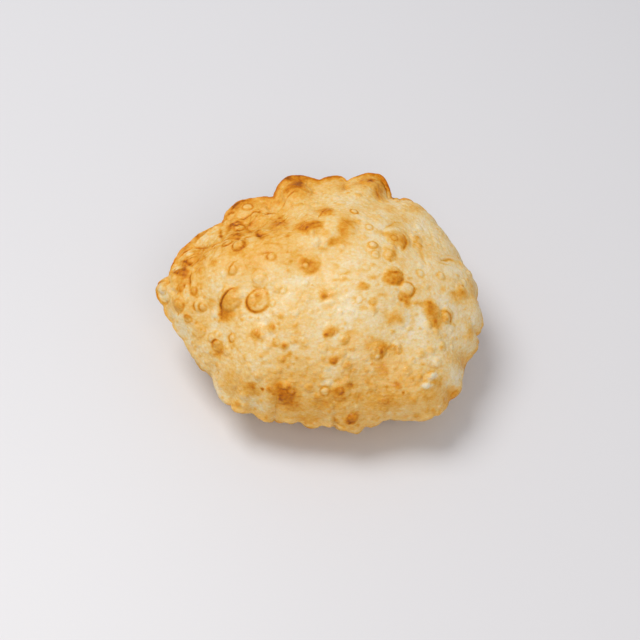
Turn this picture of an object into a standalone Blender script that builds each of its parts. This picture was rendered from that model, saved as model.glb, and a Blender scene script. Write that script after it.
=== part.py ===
"""A bhatura: a round of leavened wheat dough that puffed into a lopsided pillow as it was fried.

It is one closed solid. A top sheet and a belly sheet meet in a scalloped rim, which runs round the
bread and is higher at the back than at the front. The top carries the large blisters and creases,
the belly has blisters of its own, and a small flat spot below lets the round bread stand still.

The lists below are in millimetres and degrees. A bearing is measured at the middle of the bread,
counterclockwise from +X as seen from above. The finished mesh is in metres, +Z up, with its origin
on the table below the middle of the bread's box.
"""

import bpy
import numpy as np

NAME = "bhatura"
MM = 0.001
SEED = 7

# Squares along each side of the top sheet, and of the belly sheet
SQUARES = 52

# The scallops of the rim, one after the other: the bearing of the notch where each one starts, how
# far that notch lies from the middle, how far the scallop swells past the line between notches, and
# how far along it the swelling is greatest, from 0 at its first notch to 1 at the next
SCALLOPS = (
    (1, 85.1, 2.6, 0.55),
    (17, 83.5, 1.5, 0.50),
    (26, 82.8, 1.2, 0.50),
    (34, 81.9, 1.5, 0.50),
    (42, 80.1, 1.6, 0.50),
    (49, 82.8, 2.1, 0.50),
    (56.5, 77.2, 11.6, 0.47),
    (77.5, 71.0, 3.6, 0.40),
    (89.5, 69.4, 6.6, 0.60),
    (114.5, 62.0, 9.2, 0.46),
    (142.5, 68.7, 1.0, 0.60),
    (155, 79.5, 1.0, 0.45),
    (171.5, 84.1, 4.2, 0.46),
    (183.5, 84.4, 0.5, 0.50),
    (190.5, 81.3, 1.0, 0.45),
    (197.5, 76.6, 0.6, 0.55),
    (206, 73.2, 0.6, 0.60),
    (216, 68.8, 2.2, 0.60),
    (232, 73.8, 2.7, 0.42),
    (241, 72.8, 3.4, 0.70),
    (250.5, 69.6, 1.6, 0.45),
    (261, 69.2, 0.8, 0.60),
    (270.5, 70.6, 2.0, 0.60),
    (276.5, 71.0, 3.0, 0.35),
    (289, 72.8, 0.9, 0.60),
    (299, 76.3, 0.7, 0.50),
    (306, 83.2, 1.1, 0.50),
    (312, 88.3, 1.4, 0.38),
    (321, 87.2, 2.2, 0.42),
    (333, 83.4, 3.2, 0.66),
    (348, 86.5, 3.2, 0.38),
)

# How round the bottom of a notch is, from 0 for a sharp one. How full a scallop is, fuller towards 0.
# How far inward the swelling and the notches reach, less for a larger number
NOTCH_ROUNDING = 0.01
FULLNESS = 0.4
SWELL_POWER = 9

# How far the puffed body reaches: bearing, reach. Only the thin rim outside it follows the notches
BODY_REACH = (
    (0, 85.5),
    (20, 84.0),
    (38, 81.2),
    (56.5, 73.9),
    (78, 65.6),
    (98.5, 59.3),
    (117.5, 56.7),
    (132.5, 60.8),
    (148, 69.2),
    (164.5, 78.5),
    (179, 82.9),
    (192, 80.0),
    (205.5, 74.6),
    (220, 72.0),
    (240, 72.0),
    (260, 70.5),
    (280, 72.5),
    (300, 78.0),
    (315, 84.0),
    (330, 85.5),
    (345, 85.7),
)

# How the top falls from the crown to the rim: bearing, fall. A low one is a full round shoulder, a
# high one a long slope
SHOULDERS = (
    (0, 0.72),
    (40, 0.72),
    (52, 0.90),
    (66, 1.12),
    (90, 1.20),
    (110, 1.20),
    (130, 1.18),
    (150, 1.10),
    (168, 0.96),
    (185, 0.80),
    (205, 0.72),
    (240, 0.72),
    (270, 0.72),
    (315, 0.72),
)

# Height of the rim above the table: bearing, height
RIM_HEIGHTS = (
    (0, 33.0),
    (42.5, 42.6),
    (53, 49.0),
    (65, 58.6),
    (90, 61.5),
    (105, 63.5),
    (119, 59.3),
    (131.5, 57.6),
    (146, 53.8),
    (157, 50.6),
    (183.5, 39.2),
    (225, 25.0),
    (270, 22.0),
    (315, 25.0),
)

# How far the top sheet bellies out past the line to the rim: bearing, overhang
OVERHANGS = (
    (0, 2.5),
    (10, 2.2),
    (22, 3.4),
    (34, 4.0),
    (41, 5.8),
    (47, 5.4),
    (53, 2.0),
    (60, 0.0),
    (75, 0.0),
    (150, 0.0),
    (180, 1.0),
    (225, 0.0),
    (270, 0.0),
    (315, 1.0),
)

# How far inward the overhang reaches, less for a larger number, and how low on the shoulder it is
# widest, higher for a larger number
OVERHANG_POWER = 3
OVERHANG_SKEW = 0.7

# Height at which the two sheets would meet in the middle, and how far each one bows away from there
MIDDLE_HEIGHT = 34.0
CROWN = 40.0
BELLY = 36.5

# How flat the crown is, more for a larger number, and how much less flat it is for each unit of
# fall. How late the sheets rise towards a high rim and sink towards a low one, later for a larger
# number. How flat the belly is below, and its fall
FLATNESS = 3.38
FLATNESS_LOST = 1.5
HIGH_RIM_RISE = 0.95
LOW_RIM_RISE = 1.3
BELLY_FLATNESS = 2.2
BELLY_FALL = 0.8

# The rim is a thin lip that ruffles up and down: its thickness, the width over which the sheets
# leave it and how suddenly, the height of a ruffle, and how soon it dies out inward
LIP_THICKNESS = 2.2
LIP_WIDTH = 2.6
LIP_SUDDENNESS = 1.5
RUFFLE = 0.9
RUFFLE_POWER = 12

# Behind its edge a large scallop is puffed: from what swell on, how much for each further
# millimetre, how far inward the puff is highest, and how wide it is
PUFF_START = 3.0
PUFF = 0.20
PUFF_INWARD = 9.0
PUFF_WIDTH = 7.0

# Blisters of the top, on their place as seen from above: x, y, radius, height
TOP_BLISTERS = (
    (-31.7, -22.3, 6.6, 1.3),
    (-46.9, -18.2, 6.8, 1.6),
    (38.0, -8.9, 5.6, 0.9),
    (45.5, -14.4, 4.4, 0.9),
    (42.0, 18.3, 8.0, 0.9),
    (-4.5, 17.7, 6.0, 0.8),
    (-4.9, -4.4, 5.8, 0.7),
    (59.2, -20.7, 5.4, 0.7),
    (67.5, -20.3, 4.0, 0.8),
    (-31.0, -10.4, 4.2, 0.7),
    (-45.3, -3.4, 4.0, 0.7),
    (-47.6, 13.0, 4.4, 0.9),
    (-41.1, 12.0, 4.4, 0.9),
    (-44.7, 23.8, 4.6, 1.0),
    (-34.8, 21.1, 5.2, 0.9),
    (-33.6, 37.9, 5.5, 0.9),
    (-46.7, 38.1, 5.0, 0.9),
    (27.9, 5.5, 4.2, 0.7),
    (14.9, 17.9, 5.5, 0.6),
    (-74.4, -9.8, 4.6, 0.8),
    (-54.4, -32.7, 4.6, 0.8),
    (-63.6, -16.4, 3.8, 0.7),
    (-30.5, -36.1, 4.6, 0.7),
    (-18.0, -60.8, 6.0, 0.8),
    (10.9, -62.0, 5.2, 0.8),
    (16.1, -69.9, 4.0, 0.6),
    (29.0, -46.9, 4.6, 0.8),
    (41.0, -30.1, 6.0, 0.6),
    (6.0, -38.7, 4.0, 0.6),
    (-12.7, 55.0, 9.0, 1.2),
    (30.5, 67.8, 9.0, 1.3),
    (-75.0, 6.6, 6.5, 1.0),
    (-71.6, 18.9, 6.0, 1.0),
    (4.0, 30.7, 4.4, 0.7),
    (-21.9, 26.1, 4.6, 0.7),
    (53.1, 22.5, 4.0, 0.6),
    (37.0, 7.5, 4.4, 0.6),
    (76.1, -3.0, 5.0, 0.7),
    (57.0, -54.1, 4.4, 0.7),
    (51.4, 64.6, 6.0, 1.0),
    (-84.2, 4.4, 5.0, 1.8),
)

# A blister's cap is fuller towards 0. Round its foot runs a shallow moat: its depth as a share of the
# blister's height, its place and its width as shares of the radius
CAP_FULLNESS = 0.7
MOAT_DEPTH = 0.12
MOAT_PLACE = 1.12
MOAT_WIDTH = 0.16

# Creases of the top: where each runs from and to as seen from above, and its depth
TOP_CREASES = (
    (-70.2, 29.4, -59.3, 22.2, 1.4),
    (-29.2, 52.6, -25.7, 41.9, 2.2),
    (-51.5, 18.0, -37.9, 17.7, 0.5),
    (-49.5, 31.8, -33.8, 31.3, 0.8),
    (15.4, 64.3, 13.9, 54.8, 2.0),
    (62.9, 13.7, 78.8, 13.9, 1.6),
    (39.2, 62.8, 43.7, 54.0, 1.8),
    (-79.7, -0.3, -75.3, -6.3, 1.2),
)
CREASE_WIDTH = 3.0

# The belly's blisters are drawn at random in these ranges, clear of each other
BELLY_BLISTERS = 34
BELLY_RADII = (3.5, 7.5)
BELLY_STEEPNESS = 0.27

# Gentle unevenness all over: how many waves, their lengths and the height of one
UNEVEN_WAVES = 9
UNEVEN_LENGTHS = (26.0, 70.0)
UNEVEN_HEIGHT = 0.42

# The belly is pressed flat where it rests. Relief sets in over this height above the flat spot
RELIEF_START = 5.0

CRUST_COLOUR = (0.72, 0.45, 0.18, 1.0)
CRUST_ROUGHNESS = 0.55


def clear_scene():
    for item in list(bpy.data.objects):
        bpy.data.objects.remove(item, do_unlink=True)


def around(stops, bearing):
    """A smooth closed curve through stops of (bearing, value), read at other bearings."""
    at = np.array([stop[0] for stop in stops], float)
    value = np.array([stop[1] for stop in stops], float)
    at = np.concatenate([at[-3:] - 360, at, at[:3] + 360])
    value = np.concatenate([value[-3:], value, value[:3]])
    slope = np.gradient(value, at)
    turn = np.mod(bearing, 360)
    i = np.clip(np.searchsorted(at, turn, side="right") - 1, 0, len(at) - 2)
    width = at[i + 1] - at[i]
    t = (turn - at[i]) / width
    start = (1 + 2 * t) * (1 - t) ** 2 * value[i] + t * (1 - t) ** 2 * width * slope[i]
    end = t ** 2 * (3 - 2 * t) * value[i + 1] + t ** 2 * (t - 1) * width * slope[i + 1]
    return start + end


def scallops(bearing):
    """How far the scallops swell at each bearing, and how many of them lie before it."""
    at = np.array([scallop[0] for scallop in SCALLOPS] + [360 + SCALLOPS[0][0]], float)
    swell = np.array([scallop[2] for scallop in SCALLOPS], float)
    skew = np.array([np.log(0.5) / np.log(scallop[3]) for scallop in SCALLOPS])
    turn = np.mod(bearing - at[0], 360) + at[0]
    i = np.clip(np.searchsorted(at, turn, side="right") - 1, 0, len(swell) - 1)
    t = np.clip((turn - at[i]) / (at[i + 1] - at[i]), 0, 1)
    arc = (np.sin(np.pi * t ** skew[i]) ** 2 + NOTCH_ROUNDING) ** FULLNESS
    lowest, highest = NOTCH_ROUNDING ** FULLNESS, (1 + NOTCH_ROUNDING) ** FULLNESS
    return swell[i] * (arc - lowest) / (highest - lowest), i + t


def sheet(rho, bearing, top):
    """Points of one sheet. rho runs from 0 in the middle to 1 on the rim."""
    swell, count = scallops(bearing)
    notch = around(SCALLOPS, bearing)
    ruffle = RUFFLE * np.cos(2 * np.pi * count * (len(SCALLOPS) // 2) / len(SCALLOPS))
    rim_height = around(RIM_HEIGHTS, bearing) + ruffle * rho ** RUFFLE_POWER
    rise = np.where(rim_height > MIDDLE_HEIGHT, HIGH_RIM_RISE, LOW_RIM_RISE)
    middle = MIDDLE_HEIGHT + (rim_height - MIDDLE_HEIGHT) * rho ** rise
    body = around(BODY_REACH, bearing)
    reach = (body + (notch + swell - body) * rho ** SWELL_POWER) * rho
    inward = (1 - rho) * notch
    lip = 0.5 * LIP_THICKNESS * np.sqrt(1 - (1 - np.clip(2 * inward / LIP_THICKNESS, 0, 1)) ** 2)
    leave = 1 - np.exp(-(inward / LIP_WIDTH) ** LIP_SUDDENNESS)
    puffed = PUFF * np.maximum(swell - PUFF_START, 0) * leave
    lip = lip + puffed * np.exp(-((inward - PUFF_INWARD) / PUFF_WIDTH) ** 2)
    if top:
        fall = around(SHOULDERS, bearing)
        puff = (1 - rho ** (FLATNESS - FLATNESS_LOST * fall)) ** fall * leave
        height = middle + lip + CROWN * puff
        lean = np.sin(np.pi * np.clip(puff, 0, 1) ** OVERHANG_SKEW) * rho ** OVERHANG_POWER
        reach = reach + around(OVERHANGS, bearing) * lean
    else:
        puff = (1 - rho ** BELLY_FLATNESS) ** BELLY_FALL * leave
        height = np.maximum(middle - lip - BELLY * puff, 0)
    angle = np.radians(bearing)
    return np.stack([reach * np.cos(angle), reach * np.sin(angle), height], -1)


def disc(squares):
    """A square grid bent into a disc: each crossing's rho and bearing."""
    side = np.linspace(-1, 1, squares + 1)
    x, y = np.meshgrid(side, side, indexing="ij")
    ring = np.maximum(abs(x), abs(y))
    flat = abs(x) >= abs(y)
    long_side = np.where(flat, x, y)
    short_side = np.where(flat, y, x)
    ratio = np.divide(short_side, long_side, out=np.zeros_like(x), where=long_side != 0)
    bearing = np.where(flat, 45 * ratio, 90 - 45 * ratio) + np.where(long_side < 0, 180, 0)
    return 0.45 * ring + 0.55 * np.sin(np.pi / 2 * ring), np.mod(bearing, 360)


def pillow(squares):
    """Points and faces of the two sheets, joined at the rim. Top points come first."""
    rho, bearing = disc(squares)
    top = sheet(rho, bearing, True)
    belly = sheet(rho, bearing, False)
    side = squares + 1
    top_index = np.arange(side * side).reshape(side, side)
    inner = np.zeros((side, side), bool)
    inner[1:-1, 1:-1] = True
    belly_index = top_index.copy()
    belly_index[inner] = side * side + np.arange(inner.sum())
    points = np.concatenate([top.reshape(-1, 3), belly[inner]])
    upper = [top_index[:-1, :-1], top_index[1:, :-1], top_index[1:, 1:], top_index[:-1, 1:]]
    lower = [belly_index[:-1, :-1], belly_index[:-1, 1:], belly_index[1:, 1:], belly_index[1:, :-1]]
    quads = np.concatenate([np.stack(part, -1).reshape(-1, 4) for part in (upper, lower)])
    return points, quads, side * side


def on_top(x, y):
    """The point of the top sheet that is seen at x, y from above."""
    rho = np.linspace(0, 1, 401)
    bearing = np.full(rho.shape, np.degrees(np.arctan2(y, x)))
    line = sheet(rho, bearing, True)
    return line[np.argmin(abs(np.hypot(line[:, 0], line[:, 1]) - np.hypot(x, y)))]


def dome(distance, radius):
    """A blister's height from 0 to 1, over a shallow moat round its foot."""
    reach = distance / radius
    cap = np.clip(1 - reach ** 2, 0, 1) ** CAP_FULLNESS
    return cap - MOAT_DEPTH * np.exp(-((reach - MOAT_PLACE) / MOAT_WIDTH) ** 2)


def groove(points, start, end):
    """How deep in a crease each point lies, from 0 to 1. It dies out towards both ends."""
    along = end - start
    t = np.clip((points - start) @ along / (along @ along), 0, 1)
    distance = np.linalg.norm(points - (start + t[:, None] * along), axis=1)
    return np.exp(-(distance / (0.5 * CREASE_WIDTH)) ** 2) * np.sin(np.pi * np.clip(t, 0.05, 0.95))


def belly_places(points, draw):
    """Seats for the belly's blisters, each clear of the others: point and radius."""
    seats = []
    tries = 0
    while len(seats) < BELLY_BLISTERS and tries < 4000:
        tries += 1
        seat = points[draw.integers(len(points))]
        radius = draw.uniform(*BELLY_RADII)
        clear = all(np.linalg.norm(seat - other) > radius + size for other, size in seats)
        if clear and seat[2] > 0.3 * radius:
            seats.append((seat, radius))
    return seats


def relief(points, top_count):
    """How far each point is pushed out along the surface by unevenness, blisters and creases."""
    draw = np.random.default_rng(SEED)
    push = np.zeros(len(points))
    for _ in range(UNEVEN_WAVES):
        direction = draw.normal(size=3)
        direction /= np.linalg.norm(direction)
        length = draw.uniform(*UNEVEN_LENGTHS)
        phase = draw.uniform(0, 2 * np.pi)
        push += UNEVEN_HEIGHT * np.sin(points @ direction * (2 * np.pi / length) + phase)
    top = points[:top_count]
    for x, y, radius, height in TOP_BLISTERS:
        push[:top_count] += height * dome(np.linalg.norm(top - on_top(x, y), axis=1), radius)
    for x0, y0, x1, y1, depth in TOP_CREASES:
        push[:top_count] -= depth * groove(top, on_top(x0, y0), on_top(x1, y1))
    belly = points[top_count:]
    for seat, radius in belly_places(sheet(*disc(24), False).reshape(-1, 3), draw):
        distance = np.linalg.norm(belly - seat, axis=1)
        push[top_count:] += BELLY_STEEPNESS * radius * dome(distance, radius)
    return push * np.clip(points[:, 2] / RELIEF_START, 0, 1)


def crust():
    """Fried wheat dough: golden, with a slight gloss from the oil."""
    material = bpy.data.materials.new("fried_crust")
    material.use_nodes = True
    shader = material.node_tree.nodes["Principled BSDF"]
    shader.inputs["Base Color"].default_value = CRUST_COLOUR
    shader.inputs["Roughness"].default_value = CRUST_ROUGHNESS
    shader.inputs["Metallic"].default_value = 0.0
    return material


def make_bread():
    points, quads, top_count = pillow(SQUARES)
    mesh = bpy.data.meshes.new(NAME)
    mesh.from_pydata(points.tolist(), [], quads.tolist())
    mesh.update()
    normals = np.zeros(len(points) * 3)
    mesh.vertex_normals.foreach_get("vector", normals)
    points = points + relief(points, top_count)[:, None] * normals.reshape(-1, 3)
    points[:, 2] = np.maximum(points[:, 2], 0)
    low, high = points.min(axis=0), points.max(axis=0)
    points -= [(low[0] + high[0]) / 2, (low[1] + high[1]) / 2, low[2]]
    mesh.vertices.foreach_set("co", (points * MM).ravel())
    mesh.materials.append(crust())
    mesh.shade_smooth()
    bread = bpy.data.objects.new(NAME, mesh)
    bpy.context.scene.collection.objects.link(bread)
    return bread


clear_scene()
make_bread()
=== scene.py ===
"""The looks of one bhatura: leavened wheat dough that puffed into a pillow in hot oil.

The bread is one closed skin that stands for the CAD node. It has the CAD's own form, divided far
more finely, with the small blisters, rings, wrinkles and nicks that only the looks need. How dark
the crust is at each point of the skin, from how it fried and from painted shade and painted
glints, and where it is oily are worked out, and the fried crust's material reads them.

Lists are in millimetres and degrees. A place on the top is given as seen from above, measured from
the middle of the bread before the finished skin is centred. A bearing runs counterclockwise from +X.
"""

import bpy
import numpy as np
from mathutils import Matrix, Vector


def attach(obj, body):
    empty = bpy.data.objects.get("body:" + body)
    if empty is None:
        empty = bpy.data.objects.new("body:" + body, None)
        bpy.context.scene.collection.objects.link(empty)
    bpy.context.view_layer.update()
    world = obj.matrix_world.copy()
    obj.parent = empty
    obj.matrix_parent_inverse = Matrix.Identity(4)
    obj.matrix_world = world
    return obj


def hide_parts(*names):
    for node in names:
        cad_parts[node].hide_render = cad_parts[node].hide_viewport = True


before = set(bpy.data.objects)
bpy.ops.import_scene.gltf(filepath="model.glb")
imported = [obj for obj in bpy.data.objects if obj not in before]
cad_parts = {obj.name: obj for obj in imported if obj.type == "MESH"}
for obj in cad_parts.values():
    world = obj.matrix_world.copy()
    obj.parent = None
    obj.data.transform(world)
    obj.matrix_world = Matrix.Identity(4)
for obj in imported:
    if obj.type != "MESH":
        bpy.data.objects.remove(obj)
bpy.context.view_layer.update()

MM = 0.001
SEED = 7

# The CAD's form, repeated here

# The middle of the solid's box as seen from above, which the finished skin is centred on
BOX_MIDDLE = (0.081, 1.149)

# Scallops of the rim: bearing of the notch where each starts, that notch's reach, the swell, and
# how far along the scallop the swell is greatest
SCALLOPS = (
    (1, 85.1, 2.6, 0.55), (17, 83.5, 1.5, 0.50), (26, 82.8, 1.2, 0.50), (34, 81.9, 1.5, 0.50),
    (42, 80.1, 1.6, 0.50), (49, 82.8, 2.1, 0.50), (56.5, 77.2, 11.6, 0.47), (77.5, 71.0, 3.6, 0.40),
    (89.5, 69.4, 6.6, 0.60), (114.5, 62.0, 9.2, 0.46), (142.5, 68.7, 1.0, 0.60),
    (155, 79.5, 1.0, 0.45), (171.5, 84.1, 4.2, 0.46), (183.5, 84.4, 0.5, 0.50),
    (190.5, 81.3, 1.0, 0.45), (197.5, 76.6, 0.6, 0.55), (206, 73.2, 0.6, 0.60),
    (216, 68.8, 2.2, 0.60), (232, 73.8, 2.7, 0.42), (241, 72.8, 3.4, 0.70),
    (250.5, 69.6, 1.6, 0.45), (261, 69.2, 0.8, 0.60), (270.5, 70.6, 2.0, 0.60),
    (276.5, 71.0, 3.0, 0.35), (289, 72.8, 0.9, 0.60), (299, 76.3, 0.7, 0.50),
    (306, 83.2, 1.1, 0.50), (312, 88.3, 1.4, 0.38), (321, 87.2, 2.2, 0.42), (333, 83.4, 3.2, 0.66),
    (348, 86.5, 3.2, 0.38),
)
NOTCH_ROUNDING = 0.01
FULLNESS = 0.4
SWELL_POWER = 9

# How far the puffed body reaches, inside the rim: bearing, reach
BODY_REACH = (
    (0, 85.5), (20, 84.0), (38, 81.2), (56.5, 73.9), (78, 65.6), (98.5, 59.3), (117.5, 56.7),
    (132.5, 60.8), (148, 69.2), (164.5, 78.5), (179, 82.9), (192, 80.0), (205.5, 74.6), (220, 72.0),
    (240, 72.0), (260, 70.5), (280, 72.5), (300, 78.0), (315, 84.0), (330, 85.5), (345, 85.7),
)

# How the top falls from the crown to the rim: bearing, fall
SHOULDERS = (
    (0, 0.72), (40, 0.72), (52, 0.90), (66, 1.12), (90, 1.20), (110, 1.20), (130, 1.18),
    (150, 1.10), (168, 0.96), (185, 0.80), (205, 0.72), (240, 0.72), (270, 0.72), (315, 0.72),
)

# Height of the rim above the table: bearing, height
RIM_HEIGHTS = (
    (0, 33.0), (42.5, 42.6), (53, 49.0), (65, 58.6), (90, 61.5), (105, 63.5), (119, 59.3),
    (131.5, 57.6), (146, 53.8), (157, 50.6), (183.5, 39.2), (225, 25.0), (270, 22.0), (315, 25.0),
)

# How far the top bellies out past the line to the rim: bearing, overhang. Then how far inward that
# reaches, less for a larger number, and how low on the shoulder it is widest
OVERHANGS = (
    (0, 2.5), (10, 2.2), (22, 3.4), (34, 4.0), (41, 5.8), (47, 5.4), (53, 2.0), (60, 0.0),
    (75, 0.0), (150, 0.0), (180, 1.0), (225, 0.0), (270, 0.0), (315, 1.0),
)
OVERHANG_POWER = 3
OVERHANG_SKEW = 0.7

# The two sheets, the lip that joins them, the puffs behind it, the creases, the belly's blisters and
# the uneven waves of the skin, with the same values as in the solid
MIDDLE_HEIGHT = 34.0
CROWN = 40.0
FLATNESS = 3.38
FLATNESS_LOST = 1.5
HIGH_RIM_RISE = 0.95
LOW_RIM_RISE = 1.3
BELLY = 36.5
BELLY_FLATNESS = 2.2
BELLY_FALL = 0.8
LIP_THICKNESS = 2.2
LIP_WIDTH = 2.6
LIP_SUDDENNESS = 1.5
RUFFLE = 0.9
RUFFLE_POWER = 12
PUFF_START = 3.0
PUFF = 0.20
PUFF_INWARD = 9.0
PUFF_WIDTH = 7.0
CREASE_WIDTH = 3.0
BELLY_SQUARES = 24
BELLY_BLISTERS = 34
BELLY_TRIES = 4000
BELLY_RADII = (3.5, 7.5)
BELLY_CLEARANCE = 0.3
BELLY_STEEPNESS = 0.27
UNEVEN_WAVES = 9
UNEVEN_LENGTHS = (26.0, 70.0)
UNEVEN_HEIGHT = 0.42
RELIEF_START = 5.0

# A blister's cap is fuller towards 0. Round its foot runs a shallow moat: its depth as a share of the
# blister's height, its place and its width as shares of the radius
CAP_FULLNESS = 0.7
MOAT_DEPTH = 0.12
MOAT_PLACE = 1.12
MOAT_WIDTH = 0.16

# The large blisters of the top, which the solid has too: x, y, radius, height. Then how they browned:
# over the whole cap, round the foot, and the bearing of the foot's darkest side. That side is partly
# browned and partly painted shade, on the side of the blister turned away from the light
BLISTERS = (
    (-31.7, -22.3, 6.6, 1, 0.36, 0.84, 215), (-46.9, -18.2, 6.8, 1.6, 0.08, 0.2, 190),
    (38, -8.9, 5.6, 0.9, 0.1, 0.35, 320), (45.5, -14.4, 4.4, 0.9, 0, 0.55, 20),
    (42, 18.3, 8, 0.9, 0.05, 0.2, 340), (-4.5, 17.7, 6, 0.8, 0, 0.1, 270),
    (-4.9, -4.4, 5.8, 0.7, 0.05, 0.2, 320), (59.2, -20.7, 5.4, 0.7, 0, 0, 0),
    (67.5, -20.3, 4, 0.8, 0.05, 0.3, 0), (-31, -10.4, 4.2, 0.7, 0, 0.2, 110),
    (-45.3, -3.4, 4, 0.7, 0.03, 0.16, 180), (-47.6, 13, 4.4, 0.9, 0.05, 0.2, 90),
    (-41.1, 12, 4.4, 0.9, 0.06, 0.23, 350), (-44.7, 23.8, 4.6, 1, 0.07, 0.16, 270),
    (-34.8, 21.1, 5.2, 0.9, 0.03, 0.16, 190), (-33.6, 37.9, 5.5, 0.9, 0.05, 0.16, 90),
    (-46.7, 38.1, 5, 0.9, 0.07, 0.18, 90), (27.9, 5.5, 4.2, 0.7, 0, 0.16, 40),
    (14.9, 17.9, 5.5, 0.6, 0.03, 0, 0), (-74.4, -9.8, 4.6, 0.8, 0.07, 0.18, 30),
    (-54.4, -32.7, 4.6, 0.8, 0.07, 0.16, 200), (-63.6, -16.4, 3.8, 0.7, 0.01, 0.2, 200),
    (-30.5, -36.1, 4.6, 0.7, 0.06, 0, 0), (-18, -60.8, 6, 0.8, 0.11, 0.05, 200),
    (10.9, -62, 5.2, 0.8, 0.1, 0.05, 200), (16.1, -69.9, 4, 0.6, 0.09, 0, 0),
    (29, -46.9, 4.6, 0.8, 0.04, 0.16, 0), (41, -30.1, 6, 0.6, 0.07, 0, 0),
    (6, -38.7, 4, 0.6, 0.12, 0.07, 20), (-12.7, 55, 9, 1.2, 0.06, 0, 0),
    (30.5, 67.8, 9, 1.3, 0.06, 0, 0), (-75, 6.6, 6.5, 1, 0.09, 0.09, 270),
    (-71.6, 18.9, 6, 1, 0.06, 0.09, 90), (4, 30.7, 4.4, 0.7, 0.06, 0.07, 270),
    (-21.9, 26.1, 4.6, 0.7, 0.05, 0.09, 120), (53.1, 22.5, 4, 0.6, 0.06, 0.09, 180),
    (37, 7.5, 4.4, 0.6, 0.06, 0.02, 0), (76.1, -3, 5, 0.7, 0.04, 0, 0),
    (57, -54.1, 4.4, 0.7, 0, 0, 0), (51.4, 64.6, 6, 1, 0.03, 0, 0),
    (-84.2, 4.4, 5, 1.8, 0, 0.14, 90),
)

# Creases of the top, which the solid has too: from, to and depth
CREASES = (
    (-70.2, 29.4, -59.3, 22.2, 1.4), (-29.2, 52.6, -25.7, 41.9, 2.2),
    (-51.5, 18, -37.9, 17.7, 0.5), (-49.5, 31.8, -33.8, 31.3, 0.8), (15.4, 64.3, 13.9, 54.8, 2),
    (62.9, 13.7, 78.8, 13.9, 1.6), (39.2, 62.8, 43.7, 54, 1.8), (-79.7, -0.3, -75.3, -6.3, 1.2),
)

# What only the looks have

# Squares along each side of the top sheet. The belly sheet has half as many
TOP_SQUARES = 272

# Small blisters: x, y, radius, height, browning of the cap, browning of the foot. A cap below 0 is
# paler: on the two at (56.5, -52.7) and (53.7, -57.1) that is a painted glint, and on the one at
# (-6.8, -6.4) it is partly paler dough and partly a painted highlight
SMALL_BLISTERS = (
    (-30.3, -19.5, 1.1, 0.2, -0.02, 0.12), (-6.8, -6.4, 1.6, 0.6, -0.45, 0.28),
    (-30.4, -13.1, 4, 0.4, 0, 0.2), (18.5, 31.1, 2.2, 0.6, -0.05, 0.59),
    (11.7, 40.1, 2.5, 0.35, 0, 0.16), (26.3, 19.8, 2, 0.4, 0, 0.36),
    (27.5, 7.3, 2.3, 0.55, 0, 0.48), (28.9, 1.6, 2.4, 0.45, 0.05, 0.31),
    (11.3, 4.8, 2.2, 0.45, -0.06, 0.17), (-24.4, -0.9, 2.2, 0.45, 0, 0.36),
    (-40, 50.8, 2.7, 0.6, -0.12, 0.5), (-44.2, 33.6, 2.9, 0.65, -0.12, 0.56),
    (-48.4, 15.5, 3.1, 0.85, -0.1, 0.62), (-42.1, 10.5, 3.4, 0.85, -0.04, 0.66),
    (-29.3, 20.9, 4.4, 0.6, 0, 0.28), (-53.3, 43.6, 2.2, 0.4, 0, 0.28),
    (-44.6, -4.7, 2.4, 0.5, 0, 0.32), (-61.7, -17.7, 2, 0.4, -0.03, 0.26),
    (-69.5, -19.6, 2, 0.4, 0.03, 0.26), (-74, -12.1, 3.4, 0.7, 0, 0.31),
    (53.1, -2.8, 2.3, 0.45, 0, 0.28), (64.2, 0, 2.3, 0.45, 0, 0.28),
    (27.2, -25.2, 1.9, 0.4, 0, 0.34), (20.1, -24.9, 2, 0.35, 0, 0.25),
    (3, -61.9, 2.4, 0.55, -0.12, 0.34), (-18, -61.7, 1.6, 0.5, -0.1, 0.28),
    (-14.3, -60.6, 1.9, 0.45, 0, 0.28), (56.5, -52.7, 2, 0.9, -0.15, 0.14),
    (53.7, -57.1, 2.2, 0.95, -0.15, 0.17), (40.4, -45.3, 1.9, 0.35, -0.06, 0.24),
    (29.2, -49.1, 1.4, 0.45, -0.15, 0.28), (-32.2, -37.1, 2.4, 0.45, 0, 0.22),
    (-53.6, -35.5, 3.3, 0.5, 0.02, 0.3), (-56.6, -31.7, 2.7, 0.4, 0, 0.22),
    (-45.2, -35.3, 2.2, 0.4, -0.03, 0.22), (-63.9, -26.1, 4.1, 0.45, 0.06, 0.12),
    (-73.1, 6.1, 2.7, 0.5, 0, 0.28), (-71.1, 21.4, 2.5, 0.55, -0.1, 0.28),
    (39.4, 15.7, 2, 0.4, 0, 0.34), (16.9, -69.1, 2.4, 0.6, 0, 0.28),
    (10.9, -62, 1.9, 0.45, 0.05, 0.28), (-21.8, -42.4, 1.9, 0.35, 0, 0.2),
    (-19.4, -49.2, 1.8, 0.3, 0, 0.1), (7.4, -50.8, 1.8, 0.3, 0, 0.08),
    (36.8, 3.2, 3.5, 0.5, 0, 0.22), (66.9, -22.4, 3.1, 0.6, 0, 0.28),
    (75.8, -2.6, 2.5, 0.4, 0, 0.17), (-83.8, 1.1, 2.7, 0.8, -0.1, 0.17),
    (-73.2, -3.5, 2.4, 0.5, 0, 0.28), (-66.2, -8.4, 2, 0.45, 0.05, 0.31),
    (12.4, -43.2, 2.7, 0.4, 0, 0.14), (-7.2, -16.2, 2.2, 0.35, 0, 0.11),
    (24, -7.2, 1.9, 0.35, 0, 0.17), (54.6, 32.5, 2.7, 0.45, -0.05, 0.11),
    (50, 23.3, 1.6, 0.3, 0, 0.14), (-16.1, -4.2, 1.6, 0.3, 0, 0.14),
    (-18.4, -19.6, 1.9, 0.35, 0, 0.2), (-23.6, -24.8, 1.6, 0.35, 0, 0.25),
    (22.8, -17.8, 2, 0.35, 0, 0.1), (2, -22.3, 1.6, 0.25, 0, 0.06),
    (5.4, -39.5, 2.4, 0.3, 0, 0.08), (-24.9, -35.6, 1.9, 0.3, 0, 0.1),
)

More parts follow.
